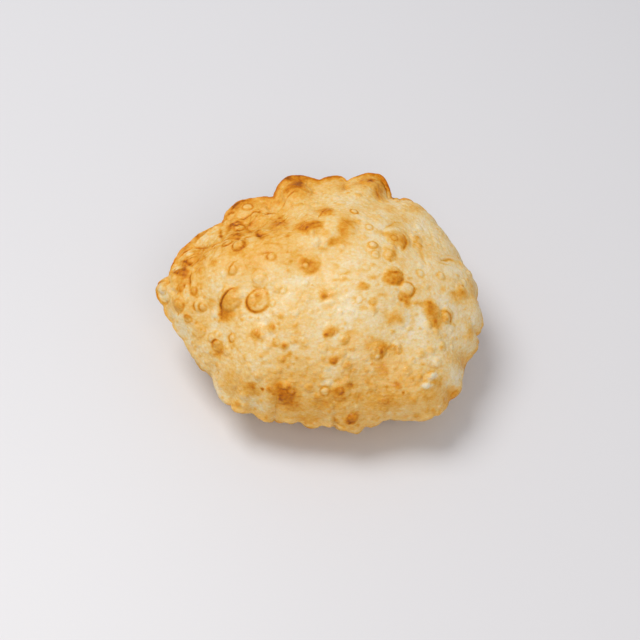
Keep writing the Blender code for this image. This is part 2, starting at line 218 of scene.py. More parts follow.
# Browned patches that lie flat in the skin: each is an oval, given by both ends of one axis, half
# the other axis, a browning and, unless it is the usual one, the softness of its edge
SOFTNESS = 0.7
PATCHES = (
    (-11.4, 66.4, -11.8, 56.8, 3.4, 0.72, 0.6), (-13.7, 60.5, -18.6, 54.1, 2.8, 0.36, 0.6),
    (-14.2, 65.4, -20.4, 66.6, 1.8, 0.26), (-1.5, 67.1, -7.6, 64.6, 2.7, 0.14, 0.8),
    (-15.6, 67.4, -10.2, 51.1, 7.5, 0.22, 0.8), (12.8, 70.8, 2.4, 69.2, 3, 0.18, 0.8),
    (37.5, 74.3, 21.8, 59.8, 7.1, 0.18, 0.8), (30, 69.9, 27.8, 64.7, 1.7, 0.4, 0.6),
    (34.3, 63.1, 33, 48.5, 3.8, 0.4), (38.1, 73.2, 36, 63, 3.1, 0.22),
    (28.2, 70.7, 19.7, 60.5, 3.5, 0.22, 0.8), (1.4, 35.9, 5.8, 26.4, 3.8, 0.46, 0.6),
    (-5.3, 14.4, -10.7, 22.4, 3.3, 0.52, 0.6), (1.5, 20.6, -5.9, 15.9, 2.9, 0.48, 0.6),
    (1, 16.1, -10.8, 24, 5.9, 0.28, 0.8), (13.5, 21.3, 11.4, 9.1, 3, 0.4),
    (21.1, 22.2, 11.4, 19.8, 2.5, 0.28, 0.8), (9, 9.2, 5.3, 5.6, 1.9, 0.42, 0.6),
    (-7.5, -1.7, -4, -10.7, 4.7, 0.32), (-2.9, -2.7, -2.4, -9.6, 3, 0.28, 0.6),
    (-23.2, 36.8, -20.9, 18.5, 4.3, 0.36, 0.8), (-23.8, 28.9, -25, 9.5, 3.4, 0.22, 0.8),
    (-33.1, 21.5, -29.4, 10, 2.4, 0.32), (-7.6, 0.6, -13.3, -1.2, 1.1, 0.3),
    (12.7, 68.5, 10.3, 53.1, 6.4, 0.12, 0.9), (-16.3, 14.5, -15.4, 11.5, 1.2, 0.28),
    (-12.2, -3.6, -15.7, -3.6, 1.1, 0.3), (2.3, 13.1, 3.7, 9.4, 1.8, 0.28),
    (4.8, 3.7, 0.1, 2.1, 1.1, 0.24), (-24.2, 47.9, -30.4, 56.1, 3.9, 0.2, 0.8),
    (-46.3, 54.7, -46.2, 46.2, 3.1, 0.24), (-47.2, 30.3, -43.2, 18.8, 2.9, 0.32, 0.6),
    (-39.6, 3.8, -50.8, 8.5, 2, 0.25), (-36.8, 25.8, -41.2, 33.6, 1.6, 0.32),
    (-32.3, 51.2, -42.5, 54.4, 3.4, 0.16, 0.8), (-28.1, 45, -35, 51.9, 3.7, 0.14, 0.8),
    (-52.5, 46, -48.4, 33, 3.8, 0.14, 0.9), (-30.5, -5.6, -38.9, -3.2, 3.3, 0.16, 0.8),
    (-49.2, 9.6, -53.9, 17.8, 2.8, 0.13, 0.8), (-56.3, 7.9, -54.3, 0.7, 1.9, 0.36, 0.6),
    (-57.4, 25.5, -55.9, 20.6, 1.1, 0.25), (-37.5, 5.4, -42.2, 8.8, 1.9, 0.18),
    (-37.9, 41.7, -31.5, 22.7, 5.5, 0.07, 0.9), (-29.2, 36.4, -25.9, 23.7, 3.6, 0.13, 0.8),
    (-60.4, 7.4, -69.8, 24.7, 5.3, 0.2, 0.6), (-72, 16, -71.4, 1.9, 2.4, 0.3, 0.6),
    (-57.7, 17.1, -65.2, 24.7, 2.5, 0.3), (-69.5, 10.1, -77.5, 20.1, 2.8, 0.26),
    (-70.6, 3.7, -75, 12.2, 2.4, 0.38, 0.6), (-72, 4.1, -80.7, 12.8, 1.8, 0.4, 0.6),
    (-58.5, 3.6, -68.2, 13.6, 3.6, 0.14, 0.8), (-76.6, 29.4, -70.4, 17.5, 5.3, 0.13, 0.8),
    (-73.7, 0.6, -72.5, -7, 2.8, 0.22), (-66.9, -6.2, -65.3, -11.8, 2.3, 0.32),
    (-70, -14.2, -78.2, -9.3, 3.7, 0.23, 0.6), (-73.2, -10.3, -77.2, -7.8, 1.2, 0.14),
    (-68.1, -11.7, -66.3, -19.3, 1.5, 0.17), (-58, -26.1, -68.5, -21.9, 4.7, 0.17),
    (-60.8, -30.6, -68.6, -26.7, 2.7, 0.13, 0.8), (-54.9, -18.6, -58.4, -16.5, 1.8, 0.22),
    (-62.6, -16.8, -62.7, -19.8, 1.7, 0.2), (-69.5, -18, -70.2, -20.8, 1.8, 0.2),
    (-74.8, -1, -82.2, -3.6, 5, 0.07, 0.9), (-47, -15, -45.8, -26.4, 6.1, 0.26, 0.5),
    (-45.8, -26.4, -53.3, -24, 2.8, 0.5, 0.6), (-50.9, -18.5, -51.9, -25, 1.5, 0.5, 0.6),
    (-31, -27.7, -37.5, -23.9, 1.7, 0.18), (-36.9, -19.8, -35.9, -27.3, 1.7, 0.26),
    (47.2, 19.3, 37.1, 13, 4.6, 0.34, 0.6), (39.6, 19.7, 29.8, 16.7, 2.1, 0.3),
    (44.8, 18.8, 44.7, 9.3, 2.1, 0.3, 0.6), (39.1, 9, 35.7, 0.2, 3.7, 0.18, 0.6),
    (39.7, 8.8, 38.2, 1.2, 1.2, 0.2), (52.6, 23.4, 51.5, 14.5, 1.6, 0.4, 0.6),
    (55.4, 17.7, 54.3, 4.5, 1.5, 0.18, 0.8), (57.6, 53.7, 47.4, 43.8, 3.2, 0.26, 0.8),
    (39.6, 47.2, 37.4, 37.7, 2.5, 0.2, 0.8), (41.6, -6, 33.3, -14.3, 4.5, 0.34, 0.3),
    (42.3, -9.6, 35.7, -14.8, 2.4, 0.4, 0.6), (37.7, -7.8, 33.1, -10, 2, 0.18),
    (46.4, -19, 45.6, -25, 2.2, 0.46, 0.6), (46.9, -18.7, 40.9, -20.8, 1.8, 0.28),
    (55.7, -11.8, 48.5, -15.5, 2.5, 0.15, 0.8), (58.5, -8.7, 57.6, -13.3, 1.5, 0.2),
    (66.3, -5.5, 63.6, -8.7, 1.4, 0.26), (57.6, -16.8, 60, -30.2, 4.6, 0.5, 0.6),
    (56.7, -17.9, 58.6, -24.3, 2.5, 0.34, 0.6), (57.9, -18.3, 48, -21.6, 1.2, 0.28),
    (63.9, -27.8, 56.4, -30.6, 1.8, 0.26, 0.8), (68.3, -18.3, 64.2, -25.6, 3.2, 0.18, 0.6),
    (78.3, -3.8, 69.4, -11.9, 3.5, 0.32), (76.8, 0.7, 75.2, -1.6, 0.8, 0.5),
    (83.1, 8.7, 73, -8.3, 5.2, 0.16, 0.8), (75, -4.3, 68.4, -8.1, 1.3, 0.2, 0.8),
    (44.4, -29.1, 33.6, -31.3, 3.8, 0.3), (41.4, -30.4, 36.6, -32.1, 1.8, 0.2),
    (48.6, -25, 48.2, -33.1, 1.3, 0.18, 0.8), (81.8, -18.9, 77.3, -27, 3.5, 0.32),
    (80.9, -15.7, 75.7, -20.6, 2.5, 0.22, 0.8), (77.4, -32.8, 68.9, -39, 3.1, 0.2, 0.8),
    (71.1, -50.7, 64.4, -56.4, 3.1, 0.26, 0.8), (76.9, -34.2, 71, -41.4, 2.6, 0.28, 0.8),
    (83.8, 4.8, 79.9, -10.9, 3.3, 0.14, 0.9), (69.3, -31.2, 63.7, -44.6, 6.4, 0.08, 0.9),
    (1.9, -19.3, 2, -25.2, 2, 0.32, 0.6), (16.2, -14, 10.2, -14.3, 1.3, 0.34),
    (16.1, -10.4, 10.3, -11, 0.9, 0.3), (15.9, -17.9, 11.3, -18.1, 0.8, 0.34),
    (15.2, -20, 12.9, -20.3, 1, 0.24), (10, -14.3, 6, -14.4, 0.9, 0.3),
    (25.7, -17, 19.9, -18.6, 2.2, 0.44, 0.6), (30, -11.5, 25.2, -12.6, 1.4, 0.3),
    (34.4, -20.3, 28.5, -21.5, 1.3, 0.24), (28.4, -23.6, 26.3, -26.8, 1.8, 0.16),
    (23.6, -29.4, 20.7, -29.9, 1.2, 0.26), (5.3, -28.5, 0.6, -28, 2, 0.16, 0.8),
    (8.7, -39.9, 2.3, -39.9, 2.5, 0.4, 0.6), (5.6, -42.2, 2.2, -41.6, 1.7, 0.3),
    (17.4, -40.5, 11.7, -40.7, 1.2, 0.28), (20, -41.4, 15.1, -38.9, 2.9, 0.12, 0.8),
    (-22.6, -36.6, -27.2, -34.5, 1.8, 0.42, 0.6), (-21.2, -43.1, -24.5, -42, 1.6, 0.34, 0.6),
    (-16.5, -44.1, -21, -43.6, 1.4, 0.18, 0.8), (-7.3, -40.3, -13.2, -40, 0.9, 0.22),
    (-9.8, -43.3, -13.5, -44.1, 0.9, 0.26), (-5.4, -45.4, -9.9, -45.7, 0.9, 0.26),
    (10.5, -47.2, 2.5, -47.2, 0.7, 0.3), (-14.4, -46.5, -15, -49, 1.7, 0.34, 0.6),
    (-16.9, -49, -20.7, -49.3, 1.8, 0.36, 0.6), (-25.1, -45.8, -29.7, -44.9, 1, 0.2, 0.8),
    (10.3, -50.7, 5.6, -50.7, 1.4, 0.42, 0.6), (-2.8, -49.7, -8.5, -49.4, 0.9, 0.18, 0.8),
    (-26.3, -48.9, -29.8, -48.6, 1.4, 0.22, 0.8), (32.8, -43.9, 23.5, -44.1, 4, 0.24),
    (27.5, -46.7, 27.7, -51, 0.9, 0.52, 0.5), (30.5, -45.6, 30.4, -50.1, 1.1, 0.52, 0.5),
    (38.7, -46.1, 28.8, -44.3, 2, 0.34), (31.8, -45.4, 36.5, -52.1, 4.6, 0.14, 0.8),
    (31.2, -51, 33.1, -55.7, 2.9, 0.34), (28.9, -52.1, 25.3, -52.5, 1, 0.4),
    (38.3, -44.4, 36.4, -44.5, 0.8, 0.34), (42.5, -45.6, 38, -45.3, 0.8, 0.26),
    (22.4, -44.8, 10.7, -45.3, 3.4, 0.12, 0.9), (-28, -38.6, -36.2, -35.6, 4.2, 0.24),
    (-32.3, -35.6, -32.1, -38.6, 1.5, 0.36), (-40.6, -32.6, -43.4, -31.9, 0.9, 0.22, 0.8),
    (-49.2, -38.8, -57.7, -34.6, 3.3, 0.32), (-46.9, -35.4, -43.7, -39, 2, 0.26),
    (-46.1, -43, -54.7, -37.6, 2.6, 0.14, 0.8), (-33.1, -57.4, -48.3, -50, 5, 0.2, 0.8),
    (-32, -56.1, -36.5, -56.2, 1.7, 0.34), (-28.1, -58.2, -29.7, -58.3, 0.9, 0.9, 0.5),
    (-29.2, -59.1, -36.3, -58.1, 1.8, 0.26), (-39.2, -61, -47.8, -57, 2.5, 0.24, 0.8),
    (-22.6, -54.5, -29.4, -53.7, 2.4, 0.16, 0.8), (-42.3, -49.1, -48.5, -46.9, 2.3, 0.14, 0.9),
    (-13.8, -62.4, -20.9, -60.8, 2.8, 0.5, 0.6), (-11, -62.3, -24.8, -60.6, 5.2, 0.42),
    (-14.8, -58.4, -24.1, -58.2, 3.5, 0.18, 0.8), (-10.8, -64.4, -17.8, -64.2, 2.7, 0.26),
    (13.2, -62.2, 6.7, -61.6, 1.4, 0.42, 0.6), (17.7, -59.9, 13.3, -61.3, 1.8, 0.28),
    (16.1, -63.5, 5.8, -63.5, 2.4, 0.18, 0.8), (10.1, -58.7, 6.7, -58.5, 1.2, 0.24, 0.8),
    (19.7, -68.5, 13.8, -69.4, 3, 0.5, 0.6), (18.1, -69.8, 13.4, -70.4, 1.1, 0.4),
    (0, -68.7, -10.7, -67.5, 3.1, 0.26, 0.8), (21.4, -63.8, 18.9, -62.8, 1.8, 0.24, 0.8),
    (42.1, -59.1, 36.6, -58, 1.8, 0.34), (41.9, -60.4, 43.2, -61.1, 0.9, 0.9, 0.5),
    (62.8, -52.3, 56.6, -55.6, 1.7, 0.26, 0.8), (58, -60.6, 49.9, -60.6, 3.3, 0.18, 0.8),
    (24.6, -56.5, 24.7, -60.3, 1.9, 0.16, 0.8), (12.2, -66, -6.5, -64.9, 2.6, 0.16, 0.9),
    (35.7, -63.7, 24, -64.2, 3.4, 0.14, 0.9), (43.8, -63.1, 33.2, -63.1, 4, 0.12, 0.9),
    (2.3, -57.5, -9.5, -56.7, 2.9, 0.1, 0.9),
)

# Patches that stayed paler, given in the same way. The two at about (57, -53) and (54, -57) are
# painted glints: whitened spots that stand for oil catching the light
PALE_PATCHES_AND_PAINTED_GLINTS = (
    (-79.6, -2.4, -87.8, 3.1, 3.8, 0.22), (-56.6, 32.7, -70.7, 31.8, 5, 0.08, 0.8),
    (-69.2, 18.2, -73.2, 24.8, 2, 0.22), (-47, -12.6, -61.4, -4.3, 6.1, 0.1, 0.9),
    (11, -55.4, 1.9, -55.4, 2.9, 0.16, 0.8), (9.9, -59.4, 0.8, -58.9, 2.4, 0.18, 0.8),
    (-11, -45.6, -15.6, -45.3, 1.6, 0.16, 0.8), (10.4, -42.4, 3.5, -42.4, 1.7, 0.14, 0.8),
    (20.1, -49.7, 13.1, -49.9, 2.2, 0.14, 0.8), (-31.9, -61.3, -39.2, -60.3, 3.6, 0.14, 0.8),
    (-54.3, -42.8, -49, -56.4, 3.3, 0.14, 0.8), (-70.8, -19.6, -72.2, -23.5, 6, 0.12, 0.8),
    (-1.6, -16.1, -18, -14.9, 3.2, 0.12, 0.9), (36.2, 9.7, 35.5, -2.3, 1.9, 0.05, 0.9),
    (57.6, 38.5, 49.3, 24.6, 4.5, 0.14, 0.9), (56, -23.5, 52.5, -32.8, 3.9, 0.12, 0.8),
    (78.6, 11.8, 58.1, 4.8, 4.1, 0.1, 0.9), (76.4, -10.4, 66, -17.1, 3.6, 0.1, 0.9),
    (83, -14.6, 76.3, -19.7, 2.6, 0.08, 0.9), (76.6, -28.3, 64.7, -34.4, 5.3, 0.08, 0.9),
    (63.8, -39.1, 51.7, -44.9, 5.7, 0.1, 0.9), (25.9, -29.3, 0.3, -30.2, 7.3, 0.08, 0.9),
    (59.3, -51.1, 53.8, -54.3, 1.8, 0.46, 0.5), (56.6, -56.6, 51, -57.6, 1.6, 0.46, 0.5),
    (-25.3, -64.2, -33.5, -62.3, 2, 0.12, 0.8), (73.9, -43.5, 66.5, -47.8, 5.9, 0.12, 0.8),
    (-11.8, -25.2, -28.2, -22.2, 6, 0.08, 0.9), (25.5, 1, 11.5, -2.9, 5.9, 0.06, 0.9),
    (25, 44.7, 3, 48.7, 10.6, 0.06, 0.9), (45.5, -27.4, 45, -34.2, 1.9, 0.12, 0.8),
    (16.4, -29.4, 9.5, -29.8, 2.4, 0.05, 0.8),
)

# Where whole stretches of the skin took more colour, or less, as soft ovals seen from above: x, y,
# half width, half depth, browning. The first, along the low front, and the one on the right flank at
# (68.5, 28.7) are partly painted shade, darkening slopes that face away from the light
STRETCHES_AND_PAINTED_SHADE = (
    (4, -68, 70, 16, 0.23), (10.6, -12.1, 26, 17, 0.05), (-34.8, 1.5, 10, 9, 0.14),
    (-54, -37, 9, 10, 0.04), (-53.6, -7.5, 9, 9, 0.1), (27.8, 17.4, 10, 8, -0.08),
    (-3.7, -17.6, 8, 9, -0.09), (51.5, -25, 26, 30, -0.04), (-30.3, 45.7, 7, 11, -0.11),
    (61.9, -58.2, 12, 9, 0.06), (-9.7, -26.8, 12, 8, 0.06), (-43.1, 34, 16, 20, 0.15),
    (-69.2, 11.9, 13, 15, 0.11), (5.9, 64.5, 36, 11, 0.13), (68.5, 28.7, 10, 26, 0.02),
    (-20, 48, 26, 18, 0.08), (-16, 10, 34, 20, 0.07), (0, 34, 34, 14, 0.05),
    (-66, -14, 14, 26, 0.05),
)

# Where the skin crinkled as it shrank back, as such ovals: x, y, half width, half depth, amount. Then
# the sizes and seeds of the lumps between the folds, and what a fold does: how deep it sinks and how
# much darker the skin is along it
CRINKLED = (
    (-45.6, 26.9, 20, 20, 1), (-73, 8.3, 12, 16, 0.9), (-9.7, 55.3, 14, 9, 0.6),
    (31.5, 67.5, 13, 9, 0.7),
)
CRINKLES = ((8, 71), (4.6, 72))
CRINKLE_DEPTH = 0.55
CRINKLE_FOLD_DARKENING = 0.13
BASE_BROWNING = 0.19

# Wrinkles and streaks, each a bent line: from, bend, to, depth, browning and, unless it is the usual
# one, half width. The browning along a wrinkle is partly real and partly painted shade in its groove
HALF_WIDTH = 0.7
WRINKLES = (
    (-42.8, -12.9, -54.5, -16.1, -51.7, -25.5, 0.7, 0.85, 0.8),
    (-43.9, -13.6, -53.4, -16.8, -51.8, -23.9, 0.3, 0.75, 0.6),
    (-62, -19.3, -64.9, -16.2, -62.6, -15.3, 0.3, 0.45),
    (-45.8, -37.1, -47.9, -34.5, -45.7, -33.2, 0.3, 0.45),
    (-55, -36.1, -57.3, -33.4, -54.5, -33.1, 0.3, 0.42),
    (-42.3, -13.6, -50.1, -16.8, -49.6, -22.3, 0.3, 0.15),
    (44, 21.7, 48.7, 17.5, 43.9, 8.9, 0.4, 0.63, 0.9),
    (62.7, -20.4, 69.8, -17.7, 69.1, -24.8, 0.45, 0.69, 0.9),
    (-40.8, 57.2, -45.4, 55, -49.4, 48.6, 0.3, 0.72, 0.9),
    (-39, 42.2, -35.5, 49.3, -31.2, 41.4, 0.45, 0.76),
    (-30.6, 39.2, -27, 45.4, -22.4, 38.8, 0.45, 0.68),
    (-46.7, 39.9, -41.8, 41.4, -38, 43.7, 0.45, 0.65),
    (-49.3, 35.8, -46.8, 40.7, -42.2, 36.7, 0.45, 0.72),
    (-42.1, 35.6, -39.6, 30.1, -37.2, 27.5, 0.4, 0.68),
    (-46.8, 17.5, -44.8, 26.6, -42.6, 26.6, 0.45, 0.79),
    (-51.8, 18.1, -50, 23.6, -46, 20.2, 0.5, 0.79),
    (-44.7, 17.6, -39.9, 18.4, -33.4, 17, 0.4, 0.61),
    (-55.1, 38.6, -53.9, 30.2, -51.9, 19.1, 0.5, 0.76, 0.8),
    (-51.6, 45.2, -49.5, 47.8, -46, 46.4, 0.35, 0.47),
    (-34.2, 21.6, -31.7, 14.5, -28.9, 10.9, 0.4, 0.76, 0.9),
    (-39.3, 6.9, -38.3, 10.5, -39.2, 15, 0.35, 0.54),
    (-70.8, 30.4, -65.1, 24.3, -59.3, 22.2, 0.55, 0.92, 1),
    (-70.7, 29.3, -74.6, 27.1, -78.2, 22, 0.35, 0.61),
    (-76.8, 19.5, -73.2, 17.6, -67.7, 8.6, 0.45, 0.76),
    (-73.4, 14.6, -70.6, 8.7, -71.9, 5.3, 0.4, 0.68),
    (-80.9, 12.5, -75.8, 4.6, -71.3, 4.4, 0.5, 0.66, 0.8),
    (-67.5, 6.8, -65.2, 4.6, -62.3, 3.3, 0.3, 0.33),
    (-68, 5.3, -69.2, -1.2, -67.8, -10.7, 0.45, 0.54),
    (-66.7, -12.7, -67, -15.8, -64.8, -19.5, 0.4, 0.48),
    (-88.8, 5.4, -86.2, 8.3, -80.3, 3.2, 0.5, 0.63, 0.8),
    (-88.7, 3.5, -88.2, 0.4, -85.6, -3, 0.3, 0.42), (-85.6, -2.2, -82, -5, -79.5, -6.6, 0.3, 0.36),
    (-47.2, -6.2, -45.8, -2, -42.3, 0.7, 0.4, 0.54),
    (-12.4, 54.7, -15, 51.5, -18.4, 49.2, 0.35, 0.6),
    (-21.1, 65.8, -18.7, 67.6, -15.2, 64.6, 0.3, 0.45),
    (-17.8, 49.5, -21, 46, -23.5, 40.4, 0.4, 0.33),
    (-16.9, 35.4, -20.5, 30.4, -23.9, 20.3, 0.4, 0.51),
    (-29.8, 7.3, -25.7, 8.7, -19.8, 6.3, 0.3, 0.36),
    (-31.7, 0.8, -27.5, 2.8, -22.3, 1.4, 0.3, 0.32), (-0.6, 24.4, 0.9, 30.2, 4.6, 33, 0.35, 0.54),
    (-10.7, 18.3, -7.5, 15, -4.3, 16.9, 0.3, 0.54), (-5.3, 17.1, -2.8, 20.4, 0.4, 19.9, 0.3, 0.51),
    (7.6, -5, 9.1, -6.7, 10.7, -7.4, 0.25, 0.45), (13.6, 20.5, 16.8, 23.5, 20.4, 21.7, 0.25, 0.3),
    (36.1, 72.5, 39.4, 68.9, 39.6, 59.3, 0.4, 0.57, 0.8),
    (26, 62.9, 29.1, 69.3, 33.7, 69.8, 0.35, 0.54), (31.5, 62.5, 32.1, 56.7, 34.1, 52, 0.35, 0.42),
    (5, 71.8, 8, 72.8, 12.1, 70.6, 0.25, 0.51), (45.6, 48, 47.4, 50.4, 49.3, 46.4, 0.35, 0.36),
    (43.5, 57.8, 47.8, 65.2, 52.2, 64.5, 0.3, 0.39),
    (34.3, 21.7, 38.3, 26.8, 42.7, 28.3, 0.35, 0.33), (38.2, 26, 41.7, 31.5, 45, 31.2, 0.35, 0.33),
    (41.9, 34.2, 44.4, 38.6, 46.4, 36.6, 0.25, 0.21),
    (64.3, 9.3, 69.8, 17.1, 75.7, 16.8, 0.55, 0.45, 0.8),
    (61.9, 7.3, 67.7, 11, 73.4, 11.3, 0.4, 0.24), (64.5, 12.8, 69.4, 18.9, 74.2, 20.6, 0.3, 0.15),
    (53.9, 13.9, 55.8, 9.3, 56.6, 1.7, 0.25, 0.21), (60.4, 35.6, 63, 24.8, 63.3, 14.3, 0.3, 0.08),
    (64.4, 34.6, 68.1, 25.1, 69.8, 17.1, 0.3, 0.08),
    (40.2, -19.2, 41.7, -21.5, 44.4, -21.4, 0.3, 0.45),
    (48.5, -11.4, 48.7, -15.4, 47.1, -20.2, 0.35, 0.45),
    (34.5, -7.3, 37.5, -9, 40.8, -5.4, 0.25, 0.45),
    (56.1, -18.5, 59.4, -17.3, 61.1, -19.8, 0.25, 0.33),
    (-57.2, -34, -56, -32.7, -52.9, -34, 0.4, 0.54),
    (-55.2, -36.9, -52.9, -38.5, -50.3, -38.6, 0.3, 0.42),
    (-44.2, -38.4, -41, -41.7, -37.8, -45, 0.2, 0.21),
    (-22.6, -62.1, -17.9, -64.5, -13.3, -63.8, 0.3, 0.39),
    (-21.1, -59.6, -17.7, -59, -14.3, -60.6, 0.3, 0.36),
    (-15.2, -62.3, -13.3, -63.8, -14.4, -65.1, 0.25, 0.36),
    (0.8, -60.9, 2.3, -59.8, 5.1, -60.9, 0.3, 0.3), (7.9, -61.9, 10, -63.4, 13, -62.4, 0.3, 0.54),
    (14, -59.7, 16.5, -59.5, 17.5, -61.1, 0.25, 0.36),
    (13.6, -70.2, 16.4, -70.9, 19.4, -68.7, 0.3, 0.51),
    (8, -70.2, 11, -71.7, 14.8, -72.8, 0.3, 0.39),
    (35.2, -43.1, 37.7, -44.5, 41.7, -44.8, 0.25, 0.33),
    (26.6, -47.1, 26, -49.4, 27, -51.9, 0.3, 0.45),
    (31.8, -46.2, 32.1, -48.5, 31.2, -50.5, 0.25, 0.39),
    (36.8, -57.7, 40, -57.7, 43, -59.2, 0.2, 0.42),
    (66.8, -55.5, 68.4, -53, 71.2, -50.3, 0.25, 0.33),
    (64.7, -62.5, 66.9, -57.6, 71.4, -51.9, 0.2, 0.24),
    (-63.6, -32.1, -60.3, -34.8, -55.7, -37.2, 0.25, 0.18),
    (-40.5, -47, -36.8, -46.7, -33.3, -48.9, 0.2, 0.15),
    (-15.2, -40.6, -11.7, -42, -8.2, -41.4, 0.2, 0.21),
    (0.4, -33.8, 5.4, -35.1, 9.5, -33.7, 0.18, 0.12),
    (9.5, -31.5, 13.5, -32.3, 18.5, -30.8, 0.18, 0.12),
    (15.6, -35.4, 19.6, -34.3, 23.6, -35.6, 0.18, 0.12),
    (55.3, -48.9, 58.6, -49.2, 62, -46.7, 0.3, 0.21),
)

# How much more the thin edge of the rim browned: bearing, browning
EDGE_BROWNING = (
    (0, 0.22), (30, 0.06), (50, 0.20), (62, 0.50), (76, 0.34), (85, 0.40), (98, 0.42), (112, 0.34),
    (128, 0.27), (146, 0.20), (160, 0.31), (171, 0.33), (185, 0.20), (215, 0.04), (250, 0.00),
    (285, 0.00), (315, 0.06), (340, 0.24),
)

# That browning's width inward, and how much it varies along the rim in lumps of what size and seed.
# The skin just inside the front rim is paler instead, partly as paler dough and partly as a painted
# highlight where the lip catches the light: by how much, how far inward and how wide
EDGE_WIDTH = 1.6
EDGE_UNEVENNESS = 0.6
EDGE_LUMPS = (5.0, 51)
FRONT_PALENESS_AND_HIGHLIGHT = 0.04
FRONT_INWARD = 2.5
FRONT_WIDTH = 3.5

# What browned has wandering outlines: lumps of two sizes, the finer ones weaker, move them by some
# millimetres, patches more than blisters and wrinkles
WANDERS = ((6.0, (11, 12, 13)), (2.6, (14, 15, 16)))
FINE_WANDER = 0.6
PATCH_WANDER = 1.2
LINE_WANDER = 0.4

# Soft clouds of browning on the top and on the belly: size, browning, seed. Then the belly's own
CLOUDS = ((16.0, 0.06, 21), (7.0, 0.07, 22))
BELLY_CLOUDS = ((18.0, 0.10, 31), (7.0, 0.08, 32))
BELLY_BROWNING = 0.16

# The browned ring round a large blister's foot: its place and width as shares of the radius, and how
# even it is all round. Where it is uneven, its darker side is partly painted shade. Then the width in
# millimetres of the ring round a small one. The browning of a cap fades from the middle outwards
RING_PLACE = 0.92
RING_WIDTH = 0.14
RING_EVENNESS = 0.65
SMALL_RING_WIDTH = 0.55
CAP_FADE = 1.3
SMALL_CAP_START = 1.5

# Crinkles fold where lumps cross zero. Finer ones lie all over the top: size and seed, depth, and how
# much darker the skin is along their folds
CRINKLE_FOLD = 0.15
FINE_CRINKLES = (4.5, 75)
FINE_CRINKLE_STRETCH = (1, 1, 1.5)
FINE_CRINKLE_FOLD = 0.10
FINE_CRINKLE_DEPTH = 0.12
FINE_CRINKLE_FOLD_DARKENING = 0.05

# Random small blisters of the top: how many, radii, height for each millimetre of radius. Then the
# least and most browning of one, how far out that fades, how far its moat reaches, how far the draw
# leans to small ones, and how close two may sit, as a share of both radii
FINE_CROPS = (
    (150, (1.6, 2.8), 0.24),
    (900, (0.75, 1.5), 0.24),
)
FINE_TINTS = (-0.10, 0.26)
TINT_FADE = 1.2
FINE_REACH = 1.6
SMALLER_OFTEN = 1.6
SPACING = 0.9

# They crowd towards the front and the left, over these lengths, and thin out near the rim
CROWD_EVERYWHERE = 0.35
CROWD_FRONT_FROM = 10
CROWD_FRONT_LENGTH = 60
CROWD_LEFT = 0.5
CROWD_LEFT_LENGTH = 80
CROWD_RIM = 40
CROWD_LEAST = 0.02

# The browning round the belly's large blisters and on their caps, and its random small blisters
BELLY_RING_WIDTH = 0.16
BELLY_RING_BROWNING = 0.16
BELLY_CAP_BROWNING = 0.12
BELLY_CROP = (420, (1.4, 3.0))
BELLY_CROP_LOWEST = 1.0
BELLY_CROP_REACH = 1.5
BELLY_CROP_STEEPNESS = 0.22
BELLY_TINTS = (-0.05, 0.22)

# Pebbling of the skin, as lumps of these sizes: size, height, seed
PEBBLES = ((9.0, 0.16, 41), (4.2, 0.11, 42), (2.1, 0.07, 43))

# Nicks in the edge of the rim: width, depth, seed. Then how far the bumps between them stand out, as
# a share of that depth, and how far inward they reach
NICKS = ((5.0, 0.55, 61), (2.3, 0.40, 62))
NICK_BUMP = 0.3
NICK_INWARD = 2.2

# Oil gathers towards the low front, over this length
OIL_EVERYWHERE = 0.25
OIL_FROM = 10
OIL_LENGTH = 50


def bell(t):
    """1 where t is 0, and falling smoothly to 0 on both sides."""
    return np.exp(-t ** 2)


def ease(t):
    """0 to 1, setting off and arriving gently."""
    return t * t * (3 - 2 * t)


def around(stops, bearing):
    """A smooth closed curve through stops of (bearing, value), read at other bearings."""
    at = np.array([stop[0] for stop in stops], float)
    value = np.array([stop[1] for stop in stops], float)
    at = np.concatenate([at[-3:] - 360, at, at[:3] + 360])
    value = np.concatenate([value[-3:], value, value[:3]])
    slope = np.gradient(value, at)
    turn = np.mod(bearing, 360)
    i = np.clip(np.searchsorted(at, turn, side="right") - 1, 0, len(at) - 2)
    width = at[i + 1] - at[i]
    t = (turn - at[i]) / width
    start = (1 + 2 * t) * (1 - t) ** 2 * value[i] + t * (1 - t) ** 2 * width * slope[i]
    end = t ** 2 * (3 - 2 * t) * value[i + 1] + t ** 2 * (t - 1) * width * slope[i + 1]
    return start + end


def scallops(bearing):
    """How far the scallops swell at each bearing, and how many of them lie before it."""
    at = np.array([scallop[0] for scallop in SCALLOPS] + [360 + SCALLOPS[0][0]], float)
    swell = np.array([scallop[2] for scallop in SCALLOPS], float)
    skew = np.array([np.log(0.5) / np.log(scallop[3]) for scallop in SCALLOPS])
    turn = np.mod(bearing - at[0], 360) + at[0]
    i = np.clip(np.searchsorted(at, turn, side="right") - 1, 0, len(swell) - 1)
    t = np.clip((turn - at[i]) / (at[i + 1] - at[i]), 0, 1)
    arc = (np.sin(np.pi * t ** skew[i]) ** 2 + NOTCH_ROUNDING) ** FULLNESS
    lowest, highest = NOTCH_ROUNDING ** FULLNESS, (1 + NOTCH_ROUNDING) ** FULLNESS
    return swell[i] * (arc - lowest) / (highest - lowest), i + t


